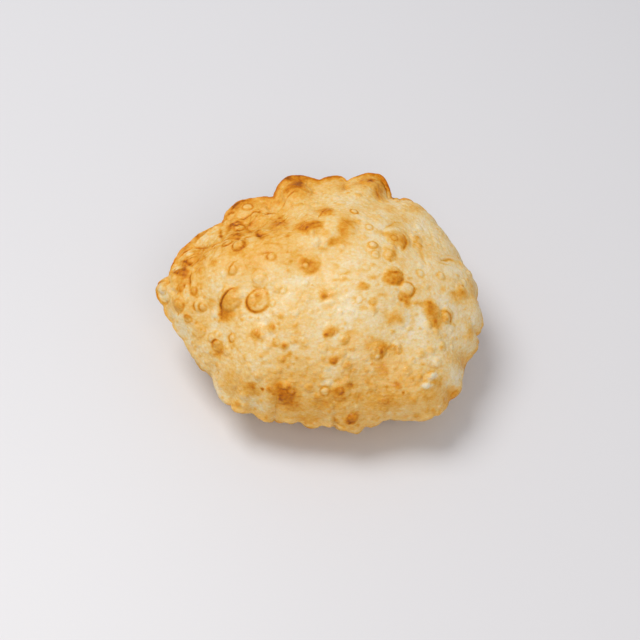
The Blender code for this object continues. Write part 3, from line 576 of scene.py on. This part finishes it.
def sheet(rho, bearing, top):
    """Points of one sheet of dough. rho runs from 0 in the middle to 1 on the rim."""
    swell, count = scallops(bearing)
    notch = around(SCALLOPS, bearing)
    ruffle = RUFFLE * np.cos(2 * np.pi * count * (len(SCALLOPS) // 2) / len(SCALLOPS))
    rim_height = around(RIM_HEIGHTS, bearing) + ruffle * rho ** RUFFLE_POWER
    rise = np.where(rim_height > MIDDLE_HEIGHT, HIGH_RIM_RISE, LOW_RIM_RISE)
    middle = MIDDLE_HEIGHT + (rim_height - MIDDLE_HEIGHT) * rho ** rise
    body = around(BODY_REACH, bearing)
    reach = (body + (notch + swell - body) * rho ** SWELL_POWER) * rho
    inward = (1 - rho) * notch
    lip = 0.5 * LIP_THICKNESS * np.sqrt(1 - (1 - np.clip(2 * inward / LIP_THICKNESS, 0, 1)) ** 2)
    leave = 1 - np.exp(-(inward / LIP_WIDTH) ** LIP_SUDDENNESS)
    puffed = PUFF * np.maximum(swell - PUFF_START, 0) * leave
    lip = lip + puffed * bell((inward - PUFF_INWARD) / PUFF_WIDTH)
    if top:
        fall = around(SHOULDERS, bearing)
        puff = (1 - rho ** (FLATNESS - FLATNESS_LOST * fall)) ** fall * leave
        height = middle + lip + CROWN * puff
        lean = np.sin(np.pi * np.clip(puff, 0, 1) ** OVERHANG_SKEW) * rho ** OVERHANG_POWER
        reach = reach + around(OVERHANGS, bearing) * lean
    else:
        puff = (1 - rho ** BELLY_FLATNESS) ** BELLY_FALL * leave
        height = np.maximum(middle - lip - BELLY * puff, 0)
    angle = np.radians(bearing)
    return np.stack([reach * np.cos(angle), reach * np.sin(angle), height], -1)


def disc(squares):
    """A square grid bent into a disc: each crossing's rho and bearing."""
    side = np.linspace(-1, 1, squares + 1)
    x, y = np.meshgrid(side, side, indexing="ij")
    ring = np.maximum(abs(x), abs(y))
    flat = abs(x) >= abs(y)
    long_side = np.where(flat, x, y)
    short_side = np.where(flat, y, x)
    ratio = np.divide(short_side, long_side, out=np.zeros_like(x), where=long_side != 0)
    bearing = np.where(flat, 45 * ratio, 90 - 45 * ratio) + np.where(long_side < 0, 180, 0)
    return 0.45 * ring + 0.55 * np.sin(np.pi / 2 * ring), np.mod(bearing, 360)


def lace(outer, outer_at, inner, inner_at):
    """Triangles that close the gap between two loops of points, facing down."""
    faces = []
    i = j = 0
    while i < len(outer) or j < len(inner):
        next_outer = outer_at[i + 1] if i + 1 < len(outer) else 360.0
        next_inner = inner_at[j + 1] if j + 1 < len(inner) else 360.0
        if j == len(inner) or (i < len(outer) and next_outer <= next_inner):
            faces.append((outer[i], inner[j % len(inner)], outer[(i + 1) % len(outer)]))
            i += 1
        else:
            faces.append((outer[i % len(outer)], inner[j], inner[(j + 1) % len(inner)]))
            j += 1
    return faces


def loop_of(grid_ring, bearing, index):
    """The points of one square ring of a grid, in the order of their bearings."""
    at = bearing[grid_ring]
    order = np.argsort(at)
    return index[grid_ring][order], at[order]


def skin():
    """Points and faces of the finely divided skin, and each point's rho and bearing. Top first."""
    rho, bearing = disc(TOP_SQUARES)
    top = sheet(rho, bearing, True)
    side = TOP_SQUARES + 1
    top_index = np.arange(side * side).reshape(side, side)
    upper = [top_index[:-1, :-1], top_index[1:, :-1], top_index[1:, 1:], top_index[:-1, 1:]]
    edge = np.ones((side, side), bool)
    edge[1:-1, 1:-1] = False

    squares = TOP_SQUARES // 2
    belly_rho, belly_bearing = disc(squares)
    belly_rho, belly_bearing = belly_rho[1:-1, 1:-1], belly_bearing[1:-1, 1:-1]
    belly = sheet(belly_rho, belly_bearing, False)
    inner = squares - 1
    belly_index = side * side + np.arange(inner * inner).reshape(inner, inner)
    lower = [belly_index[:-1, :-1], belly_index[:-1, 1:], belly_index[1:, 1:], belly_index[1:, :-1]]
    hem = np.ones((inner, inner), bool)
    hem[1:-1, 1:-1] = False

    faces = np.concatenate([np.stack(part, -1).reshape(-1, 4) for part in (upper, lower)]).tolist()
    faces += lace(*loop_of(edge, bearing, top_index), *loop_of(hem, belly_bearing, belly_index))
    points = np.concatenate([top.reshape(-1, 3), belly.reshape(-1, 3)])
    rho = np.concatenate([rho.ravel(), belly_rho.ravel()])
    bearing = np.concatenate([bearing.ravel(), belly_bearing.ravel()])
    return points, faces, rho, bearing, side * side


def on_top(x, y):
    """The point of the top sheet that is seen at x, y from above."""
    rho = np.linspace(0, 1, 401)
    bearing = np.full(rho.shape, np.degrees(np.arctan2(y, x)))
    line = sheet(rho, bearing, True)
    return line[np.argmin(abs(np.hypot(line[:, 0], line[:, 1]) - np.hypot(x, y)))]


def dome(distance, radius):
    """A blister's height from 0 to 1, over a shallow moat round its foot."""
    reach = distance / radius
    cap = np.clip(1 - reach ** 2, 0, 1) ** CAP_FULLNESS
    return cap - MOAT_DEPTH * bell((reach - MOAT_PLACE) / MOAT_WIDTH)


def groove(points, start, end):
    """How deep in a crease each point lies, from 0 to 1. It dies out towards both ends."""
    along = end - start
    t = np.clip((points - start) @ along / (along @ along), 0, 1)
    distance = np.linalg.norm(points - (start + t[:, None] * along), axis=1)
    return bell(distance / (0.5 * CREASE_WIDTH)) * np.sin(np.pi * np.clip(t, 0.05, 0.95))


def lumps(points, size, seed):
    """Smooth random lumps of about one size, from -1 to 1."""
    side = 32
    table = np.random.default_rng(seed).uniform(-1, 1, (side, side, side))
    cell = points / size + 100
    low = np.floor(cell).astype(int)
    t = ease(cell - low)
    total = np.zeros(len(points))
    for corner in range(8):
        step = np.array([corner & 1, corner >> 1 & 1, corner >> 2])
        weight = np.prod(np.where(step, t, 1 - t), axis=1)
        at = (low + step) % side
        total += weight * table[at[:, 0], at[:, 1], at[:, 2]]
    return total


def places(points, count, radii, draw, weight=None, lowest=0.0):
    """Seats for small blisters, each clear of the others: point and radius."""
    seats = np.zeros((0, 3))
    sizes = np.zeros(0)
    share = None if weight is None else weight / weight.sum()
    for pick in draw.choice(len(points), count * 6, p=share):
        if len(sizes) == count:
            break
        radius = radii[0] + (radii[1] - radii[0]) * draw.random() ** SMALLER_OFTEN
        seat = points[pick]
        if seat[2] <= lowest:
            continue
        if np.all(np.linalg.norm(seats - seat, axis=1) > SPACING * (radius + sizes)):
            seats = np.vstack([seats, seat])
            sizes = np.append(sizes, radius)
    return seats, sizes


def belly_places(points, draw):
    """Seats for the belly's large blisters, as the solid has them: point and radius."""
    seats = []
    tries = 0
    while len(seats) < BELLY_BLISTERS and tries < BELLY_TRIES:
        tries += 1
        seat = points[draw.integers(len(points))]
        radius = draw.uniform(*BELLY_RADII)
        clear = all(np.linalg.norm(seat - other) > radius + size for other, size in seats)
        if clear and seat[2] > BELLY_CLEARANCE * radius:
            seats.append((seat, radius))
    return seats


def oval(plan, x, y, across, deep):
    """How far inside a very soft oval each point lies, seen from above, from 0 to 1."""
    reach = np.hypot((plan[:, 0] - x) / across, (plan[:, 1] - y) / deep)
    return ease(np.clip(1 - 0.5 * reach, 0, 1))


def blot(points, x0, y0, x1, y1, half_width, softness=SOFTNESS):
    """How far inside a soft oval patch of the top each point lies, from 0 to 1."""
    start, end = on_top(x0, y0), on_top(x1, y1)
    half_length = np.linalg.norm(end - start) / 2
    away = points - (start + end) / 2
    along = away @ (end - start) / (2 * half_length)
    across = np.sqrt(np.maximum((away ** 2).sum(axis=1) - along ** 2, 0))
    reach = np.hypot(along / half_length, across / half_width)
    return ease(np.clip((1 + softness - reach) / (2 * softness), 0, 1))


def stroke(points, x0, y0, xb, yb, x1, y1, half_width=HALF_WIDTH):
    """How near a bent line on the top each point lies, from 0 to 1. It thins out at both ends."""
    steps = np.linspace(0, 1, 9)[:, None]
    line = (1 - steps) ** 2 * np.array([x0, y0]) + 2 * steps * (1 - steps) * np.array([xb, yb])
    line = np.array([on_top(x, y) for x, y in line + steps ** 2 * np.array([x1, y1])])
    nearest = np.full(len(points), 1e9)
    along = np.zeros(len(points))
    for i in range(len(line) - 1):
        leg = line[i + 1] - line[i]
        t = np.clip((points - line[i]) @ leg / (leg @ leg), 0, 1)
        distance = np.linalg.norm(points - line[i] - t[:, None] * leg, axis=1)
        closer = distance < nearest
        nearest = np.where(closer, distance, nearest)
        along = np.where(closer, (i + t) / (len(line) - 1), along)
    taper = np.sin(np.pi * np.clip(along, 0.04, 0.96)) ** 0.5
    return bell(nearest / (half_width * taper)) * taper


def add_to_tone(browning, amount):
    """Darkening builds up over what is there, and never past the darkest. A paling is scaled alike."""
    return browning + (1 - np.clip(browning, 0, 1)) * amount


def fry(points, rho, bearing, top_count):
    """How far each point is pushed out along the skin, how dark its crust is, painted shade and
    painted glints included, and how oily.
    """
    draw = np.random.default_rng(SEED)
    push = np.zeros(len(points))
    for _ in range(UNEVEN_WAVES):
        direction = draw.normal(size=3)
        direction /= np.linalg.norm(direction)
        length = draw.uniform(*UNEVEN_LENGTHS)
        phase = draw.uniform(0, 2 * np.pi)
        push += UNEVEN_HEIGHT * np.sin(points @ direction * (2 * np.pi / length) + phase)
    top, belly = points[:top_count], points[top_count:]
    plan = top[:, :2]
    wander, finer = (np.stack([lumps(top, size, seed) for seed in seeds], -1)
                     for size, seeds in WANDERS)
    wander += FINE_WANDER * finer
    astray = top + PATCH_WANDER * wander
    bent = top + LINE_WANDER * wander

    brown_and_painted_light = np.full(len(points), BASE_BROWNING)
    top_brown_and_painted_light = brown_and_painted_light[:top_count]
    # Stretches of tone; the low front one and the right flank one are partly painted shade
    for *shape, amount in STRETCHES_AND_PAINTED_SHADE:
        top_brown_and_painted_light += amount * oval(plan, *shape)
    top_brown_and_painted_light += sum(amount * lumps(top, size, seed) for size, amount, seed in CLOUDS)
    for x0, y0, x1, y1, half_width, amount, *softness in PATCHES:
        inside = blot(astray, x0, y0, x1, y1, half_width, *softness)
        top_brown_and_painted_light[:] = add_to_tone(top_brown_and_painted_light, amount * inside)
    # Paler patches; the two strongest are painted glints
    for x0, y0, x1, y1, half_width, amount, *softness in PALE_PATCHES_AND_PAINTED_GLINTS:
        top_brown_and_painted_light -= amount * blot(astray, x0, y0, x1, y1, half_width, *softness)

    for x, y, radius, height, cap, foot, shaded_and_browned_side in BLISTERS:
        seat = on_top(x, y)
        push[:top_count] += height * dome(np.linalg.norm(top - seat, axis=1), radius)
        away = bent - seat
        reach = np.linalg.norm(away, axis=1) / radius
        # The ring round the foot is darker towards this side: partly browning, partly painted shade
        side = np.cos(np.arctan2(away[:, 1], away[:, 0]) - np.radians(shaded_and_browned_side))
        ring = bell((reach - RING_PLACE) / RING_WIDTH) * (RING_EVENNESS + (1 - RING_EVENNESS) * side)
        strayed = np.linalg.norm(astray - seat, axis=1)
        inside = np.clip(CAP_FADE - CAP_FADE * strayed / radius, 0, 1)
        top_brown_and_painted_light[:] = add_to_tone(top_brown_and_painted_light, foot * ring + cap * inside)
    for x, y, radius, height, cap, foot in SMALL_BLISTERS:
        seat = on_top(x, y)
        distance = np.linalg.norm(bent - seat, axis=1)
        push[:top_count] += height * dome(distance, radius)
        reach = distance / radius
        ring = bell((reach - 1) * radius / SMALL_RING_WIDTH)
        inside = np.clip(SMALL_CAP_START - CAP_FADE * reach, 0, 1)
        # A cap below 0 pales it; on three blisters that paleness is wholly or partly a painted
        # highlight
        top_brown_and_painted_light[:] = add_to_tone(top_brown_and_painted_light, foot * ring + cap * inside)
    for x0, y0, x1, y1, depth in CREASES:
        push[:top_count] -= depth * groove(top, on_top(x0, y0), on_top(x1, y1))
    for x0, y0, xb, yb, x1, y1, depth, amount, *half_width in WRINKLES:
        near = stroke(bent, x0, y0, xb, yb, x1, y1, *half_width)
        push[:top_count] -= depth * near
        # Darker along the wrinkle: partly browning, partly painted shade in its groove
        top_brown_and_painted_light[:] = add_to_tone(top_brown_and_painted_light, amount * near)

    crinkled = sum(amount * oval(plan, *shape) for *shape, amount in CRINKLED)
    for size, seed in CRINKLES:
        fold = bell(lumps(astray, size, seed) / CRINKLE_FOLD)
        push[:top_count] -= CRINKLE_DEPTH * crinkled * fold
        # The skin is darker along each fold
        top_brown_and_painted_light += CRINKLE_FOLD_DARKENING * crinkled * fold
    stretched = bent * np.array(FINE_CRINKLE_STRETCH)
    fine = bell(lumps(stretched, *FINE_CRINKLES) / FINE_CRINKLE_FOLD)
    push[:top_count] -= FINE_CRINKLE_DEPTH * fine
    # and darker along the fine folds
    top_brown_and_painted_light += FINE_CRINKLE_FOLD_DARKENING * fine

    crowd = CROWD_EVERYWHERE + np.clip((CROWD_FRONT_FROM - plan[:, 1]) / CROWD_FRONT_LENGTH, 0, 1)
    crowd = crowd + CROWD_LEFT * np.clip(-plan[:, 0] / CROWD_LEFT_LENGTH, 0, 1)
    crowd = crowd * np.clip((1 - rho[:top_count]) * CROWD_RIM, CROWD_LEAST, 1)
    for count, radii, steepness in FINE_CROPS:
        for seat, radius in zip(*places(top, count, radii, draw, crowd)):
            near = np.flatnonzero(np.abs(plan - seat[:2]).max(axis=1) < FINE_REACH * radius)
            reach = np.linalg.norm(bent[near] - seat, axis=1) / radius
            push[near] += steepness * radius * dome(reach, 1.0)
            top_brown_and_painted_light[near] += draw.uniform(*FINE_TINTS) * np.clip(TINT_FADE - reach, 0, 1)

    solid_belly = sheet(*disc(BELLY_SQUARES), False).reshape(-1, 3)
    for seat, radius in belly_places(solid_belly, fork_of_solid()):
        distance = np.linalg.norm(belly - seat, axis=1)
        push[top_count:] += BELLY_STEEPNESS * radius * dome(distance, radius)
        ring = bell((distance / radius - 1) / BELLY_RING_WIDTH)
        cap = np.clip(TINT_FADE - distance / radius, 0, 1)
        brown_and_painted_light[top_count:] += BELLY_RING_BROWNING * ring + BELLY_CAP_BROWNING * cap
    for seat, radius in zip(*places(belly, *BELLY_CROP, draw, lowest=BELLY_CROP_LOWEST)):
        aside = np.abs(belly - seat).max(axis=1)
        near = top_count + np.flatnonzero(aside < BELLY_CROP_REACH * radius)
        reach = np.linalg.norm(points[near] - seat, axis=1) / radius
        push[near] += BELLY_CROP_STEEPNESS * radius * dome(reach, 1.0)
        brown_and_painted_light[near] += draw.uniform(*BELLY_TINTS) * np.clip(TINT_FADE - reach, 0, 1)
    clouds = (amount * lumps(belly, size, seed) for size, amount, seed in BELLY_CLOUDS)
    brown_and_painted_light[top_count:] += sum(clouds, BELLY_BROWNING)

    for size, height, seed in PEBBLES:
        push += height * lumps(points, size, seed)

    # The thin edge of the rim. At the front it stayed pale, over the shadow below: partly paler dough,
    # partly a painted highlight where the lip catches the light
    inward = (1 - rho) * around(SCALLOPS, bearing)
    uneven = 1 + EDGE_UNEVENNESS * lumps(points, *EDGE_LUMPS)
    brown_and_painted_light += bell(inward / EDGE_WIDTH) * uneven * around(EDGE_BROWNING, bearing)
    front = np.clip(np.sin(np.radians(-bearing)), 0, 1)
    # Paler just inside the front rim: partly paler dough, partly a painted highlight along the lip
    brown_and_painted_light -= FRONT_PALENESS_AND_HIGHLIGHT * front * bell((inward - FRONT_INWARD) / FRONT_WIDTH)

    oil = np.zeros(len(points))
    low_front = np.clip((OIL_FROM - plan[:, 1]) / OIL_LENGTH, 0, 1)
    oil[:top_count] = OIL_EVERYWHERE + (1 - OIL_EVERYWHERE) * low_front
    return push * np.clip(points[:, 2] / RELIEF_START, 0, 1), brown_and_painted_light, oil


def fork_of_solid():
    """The solid's own random draws, moved on past its uneven waves."""
    draw = np.random.default_rng(SEED)
    for _ in range(UNEVEN_WAVES):
        draw.normal(size=3)
        draw.uniform(*UNEVEN_LENGTHS)
        draw.uniform(0, 2 * np.pi)
    return draw


def nick(points, rho, bearing):
    """Small cuts and bumps in the edge of the rim."""
    inward = (1 - rho) * around(SCALLOPS, bearing)
    cut = np.zeros(len(points))
    for width, depth, seed in NICKS:
        cut += depth * np.clip(lumps(points * [1, 1, 0], width, seed), -1, NICK_BUMP)
    cut = cut * bell(inward / NICK_INWARD)
    angle = np.radians(bearing)
    points[:, 0] += cut * np.cos(angle)
    points[:, 1] += cut * np.sin(angle)


def add(tree, kind, inputs=None, **settings):
    """Adds one node. An input is a value, or (node, output) to link from."""
    node = tree.nodes.new(kind)
    for name, value in settings.items():
        setattr(node, name, value)
    for socket, value in (inputs or {}).items():
        if isinstance(value, tuple) and isinstance(value[0], bpy.types.Node):
            tree.links.new(value[0].outputs[value[1]], node.inputs[socket])
        else:
            node.inputs[socket].default_value = value
    return node


def linear(hex_colour):
    """An sRGB hex colour as the linear RGBA that the renderer works in."""
    levels = [int(hex_colour[i:i + 2], 16) / 255 for i in (1, 3, 5)]
    return [v / 12.92 if v <= 0.04045 else ((v + 0.055) / 1.055) ** 2.4 for v in levels] + [1.0]


def set_ramp(node, stops):
    """Gives a colour ramp its stops of (position, sRGB hex)."""
    ramp = node.color_ramp
    while len(ramp.elements) > 1:
        ramp.elements.remove(ramp.elements[0])
    ramp.elements[0].position, ramp.elements[0].color = stops[0][0], linear(stops[0][1])
    for position, colour in stops[1:]:
        ramp.elements.new(position).color = linear(colour)


# Fried wheat dough: starch that set and browned in hot oil. It is cream where the skin is thick and
# barely coloured, gold to chestnut where it blistered against the oil, and it glows a little,
# because light travels a few millimetres through it. A film of oil leaves small soft glints
CRUST_COLOURS = (
    (0.00, "#EDDFC2"),
    (0.14, "#E9D2A2"),
    (0.30, "#E8C077"),
    (0.48, "#E2A846"),
    (0.66, "#D58A1C"),
    (0.84, "#BC6B04"),
    (1.00, "#914D00"),
)
# Sizes of the textures in the skin, how much darker each one makes it, and the mean of what they add.
# The mottling and the freckles are browning; the bubbles make the skin darker in the pits between them
MOTTLE = 5.0
BUBBLE = 2.4
FRECKLE = 1.3
GRAIN = 0.6
MOTTLE_BROWNING = 0.36
BUBBLE_PIT_DARKENING = 0.16
FRECKLE_BROWNING = 0.34
TEXTURE_MEAN = 0.42
# They are drawn flatter than wide, as the skin stretched round the sides
FLATTENING = (1.0, 1.2, 1.9)


def noise(tree, at, size, detail, roughness):
    """Noise with lumps of this size in millimetres."""
    return add(tree, "ShaderNodeTexNoise", {"Vector": at, "Scale": 1 / (size * MM),
                                            "Detail": detail, "Roughness": roughness})


def add_texture_darkening(tree, texture, output, amount, below):
    """Adds a texture's darkening to the tone below it."""
    return add(tree, "ShaderNodeMath", {0: (texture, output), 1: amount, 2: below},
               operation="MULTIPLY_ADD")


def raised(tree, texture, strength, height, below):
    """Relief this many millimetres high from a noise, over the relief below it."""
    return add(tree, "ShaderNodeBump", {"Strength": strength, "Distance": height * MM,
                                        "Height": (texture, "Fac"), "Normal": (below, 0)})


def fried_dough():
    material = bpy.data.materials.new("fried_wheat_dough")
    material.use_nodes = True
    tree = material.node_tree
    tree.nodes.clear()
    place = add(tree, "ShaderNodeTexCoord")
    flattened = add(tree, "ShaderNodeMapping", {"Vector": (place, "Object"), "Scale": FLATTENING})
    at = (flattened, "Vector")
    browned_and_painted_light = add(tree, "ShaderNodeAttribute", attribute_name="browning")
    oily = add(tree, "ShaderNodeAttribute", attribute_name="oiliness")

    mottle = noise(tree, at, MOTTLE, 3.0, 0.65)
    bubbles = add(tree, "ShaderNodeTexVoronoi", {"Vector": at, "Scale": 1 / (BUBBLE * MM),
                                                 "Smoothness": 0.5}, feature="SMOOTH_F1")
    freckle = noise(tree, at, FRECKLE, 3.0, 0.6)
    grain = noise(tree, at, GRAIN, 2.0, 0.6)

    # Browning varies with the mottling and the freckles, and the skin is darker in the pits between
    # the small bubbles
    mottled = add_texture_darkening(tree, mottle, "Fac", MOTTLE_BROWNING, (browned_and_painted_light, "Fac"))
    bubbled = add_texture_darkening(tree, bubbles, "Distance", BUBBLE_PIT_DARKENING, (mottled, 0))
    freckled = add_texture_darkening(tree, freckle, "Fac", FRECKLE_BROWNING, (bubbled, 0))
    shade = add(tree, "ShaderNodeMath", {0: (freckled, 0), 1: TEXTURE_MEAN}, operation="SUBTRACT")
    # The ramp colours the crust's tone, which holds painted shade and painted glints as well as
    # browning
    ramp = add(tree, "ShaderNodeValToRGB", {"Fac": (shade, 0)})
    set_ramp(ramp, CRUST_COLOURS)

    # Oil stands in small spots where the skin is lumpy
    spots = add(tree, "ShaderNodeMapRange", {"Value": (freckle, "Fac"), "From Min": 0.50,
                                             "From Max": 0.62, "To Min": 0.05, "To Max": 0.8})
    oil = add(tree, "ShaderNodeMath", {0: (spots, "Result"), 1: (oily, "Fac")}, operation="MULTIPLY")

    bubble_relief = add(tree, "ShaderNodeBump", {"Strength": 0.45, "Distance": 0.30 * MM,
                                                 "Height": (bubbles, "Distance")}, invert=True)
    pebbled = raised(tree, freckle, 0.65, 0.32, bubble_relief)
    grained = raised(tree, grain, 0.45, 0.12, pebbled)
    dough = add(tree, "ShaderNodeBsdfPrincipled", {
        "Base Color": (ramp, "Color"),
        "Roughness": 0.48,
        "IOR": 1.45,
        "Specular IOR Level": 0.14,
        "Normal": (grained, 0),
        "Subsurface Weight": 0.22,
        "Subsurface Radius": (1.0, 0.45, 0.18),
        "Subsurface Scale": 2.0 * MM,
        "Coat Weight": (oil, 0),
        "Coat Roughness": 0.20,
    })
    add(tree, "ShaderNodeOutputMaterial", {"Surface": (dough, "BSDF")})
    return material


def make_bhatura():
    points, faces, rho, bearing, top_count = skin()
    mesh = bpy.data.meshes.new("bhatura_crust")
    mesh.from_pydata(points.tolist(), [], faces)
    mesh.update()
    normals = np.zeros(len(points) * 3)
    mesh.vertex_normals.foreach_get("vector", normals)
    push, browning, oiliness = fry(points, rho, bearing, top_count)
    points = points + push[:, None] * normals.reshape(-1, 3)
    nick(points, rho, bearing)
    points[:, 2] = np.maximum(points[:, 2], 0)
    points -= [*BOX_MIDDLE, 0]
    mesh.vertices.foreach_set("co", (points * MM).ravel())
    # The crust's tone, browning with painted shade and painted glints, and its oiliness, for the
    # material
    for name, values in (("browning", browning), ("oiliness", oiliness)):
        attribute = mesh.attributes.new(name, "FLOAT", "POINT")
        attribute.data.foreach_set("value", np.clip(values, 0, 1).astype(np.float32))
    mesh.shade_smooth()
    mesh.update()
    mesh.materials.append(fried_dough())
    bread = bpy.data.objects.new("bhatura_crust", mesh)
    bpy.context.scene.collection.objects.link(bread)
    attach(bread, "root")
    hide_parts("bhatura")
    return bread


# The photograph's camera, found from the object: how high it looks from, how far away, and at what
CAMERA_LENS = 65.0
CAMERA_RISE = 51.3
CAMERA_DISTANCE = 622.0
CAMERA_TARGET = (0.32, -11.15, 34.0)


def set_camera():
    rise = np.radians(CAMERA_RISE)
    target = Vector(CAMERA_TARGET) * MM
    camera = bpy.data.objects.new("camera", bpy.data.cameras.new("camera"))
    camera.data.lens = CAMERA_LENS
    camera.data.sensor_width = 36.0
    camera.location = target + Vector((0, -np.cos(rise), np.sin(rise))) * CAMERA_DISTANCE * MM
    camera.rotation_euler = (np.pi / 2 - rise, 0, 0)
    bpy.context.scene.collection.objects.link(camera)
    bpy.context.scene.camera = camera


# Soft lights: name, place and size in metres, watts, colour
LIGHTS = (
    ("window_light", (-0.65, 0.38, 1.50), 1.00, 17.35, "#FFFDF8"),
    ("fill_light", (0.25, -0.85, 0.85), 0.70, 3.6, "#FFF8EE"),
)
SURROUNDINGS = "#F1F1F4"
SURROUNDINGS_STRENGTH = 0.47
LIT_SPOT = (0, 0, 0.03)
FLOOR_COLOUR = "#DADADF"
FLOOR_HALF_SIZE = 3.0


def set_lights():
    for name, place, size, watts, colour in LIGHTS:
        lamp = bpy.data.lights.new(name, "AREA")
        lamp.shape = "DISK"
        lamp.size = size
        lamp.energy = watts
        lamp.color = linear(colour)[:3]
        item = bpy.data.objects.new(name, lamp)
        item.location = place
        item.rotation_euler = (Vector(place) - Vector(LIT_SPOT)).to_track_quat("Z", "Y").to_euler()
        bpy.context.scene.collection.objects.link(item)
    world = bpy.data.worlds.new("soft_surroundings")
    world.use_nodes = True
    background = world.node_tree.nodes["Background"]
    background.inputs["Color"].default_value = linear(SURROUNDINGS)
    background.inputs["Strength"].default_value = SURROUNDINGS_STRENGTH
    bpy.context.scene.world = world
    bpy.context.scene.view_settings.view_transform = "Standard"


def make_floor():
    """A plain pale table, matt with a faint sheen, under the bread."""
    size = FLOOR_HALF_SIZE
    mesh = bpy.data.meshes.new("floor")
    corners = [(-size, -size, 0), (size, -size, 0), (size, size, 0), (-size, size, 0)]
    mesh.from_pydata(corners, [], [(0, 1, 2, 3)])
    material = bpy.data.materials.new("pale_table")
    material.use_nodes = True
    shader = material.node_tree.nodes["Principled BSDF"]
    shader.inputs["Base Color"].default_value = linear(FLOOR_COLOUR)
    shader.inputs["Roughness"].default_value = 0.45
    mesh.materials.append(material)
    floor = bpy.data.objects.new("floor", mesh)
    bpy.context.scene.collection.objects.link(floor)


make_bhatura()
set_camera()
set_lights()
make_floor()
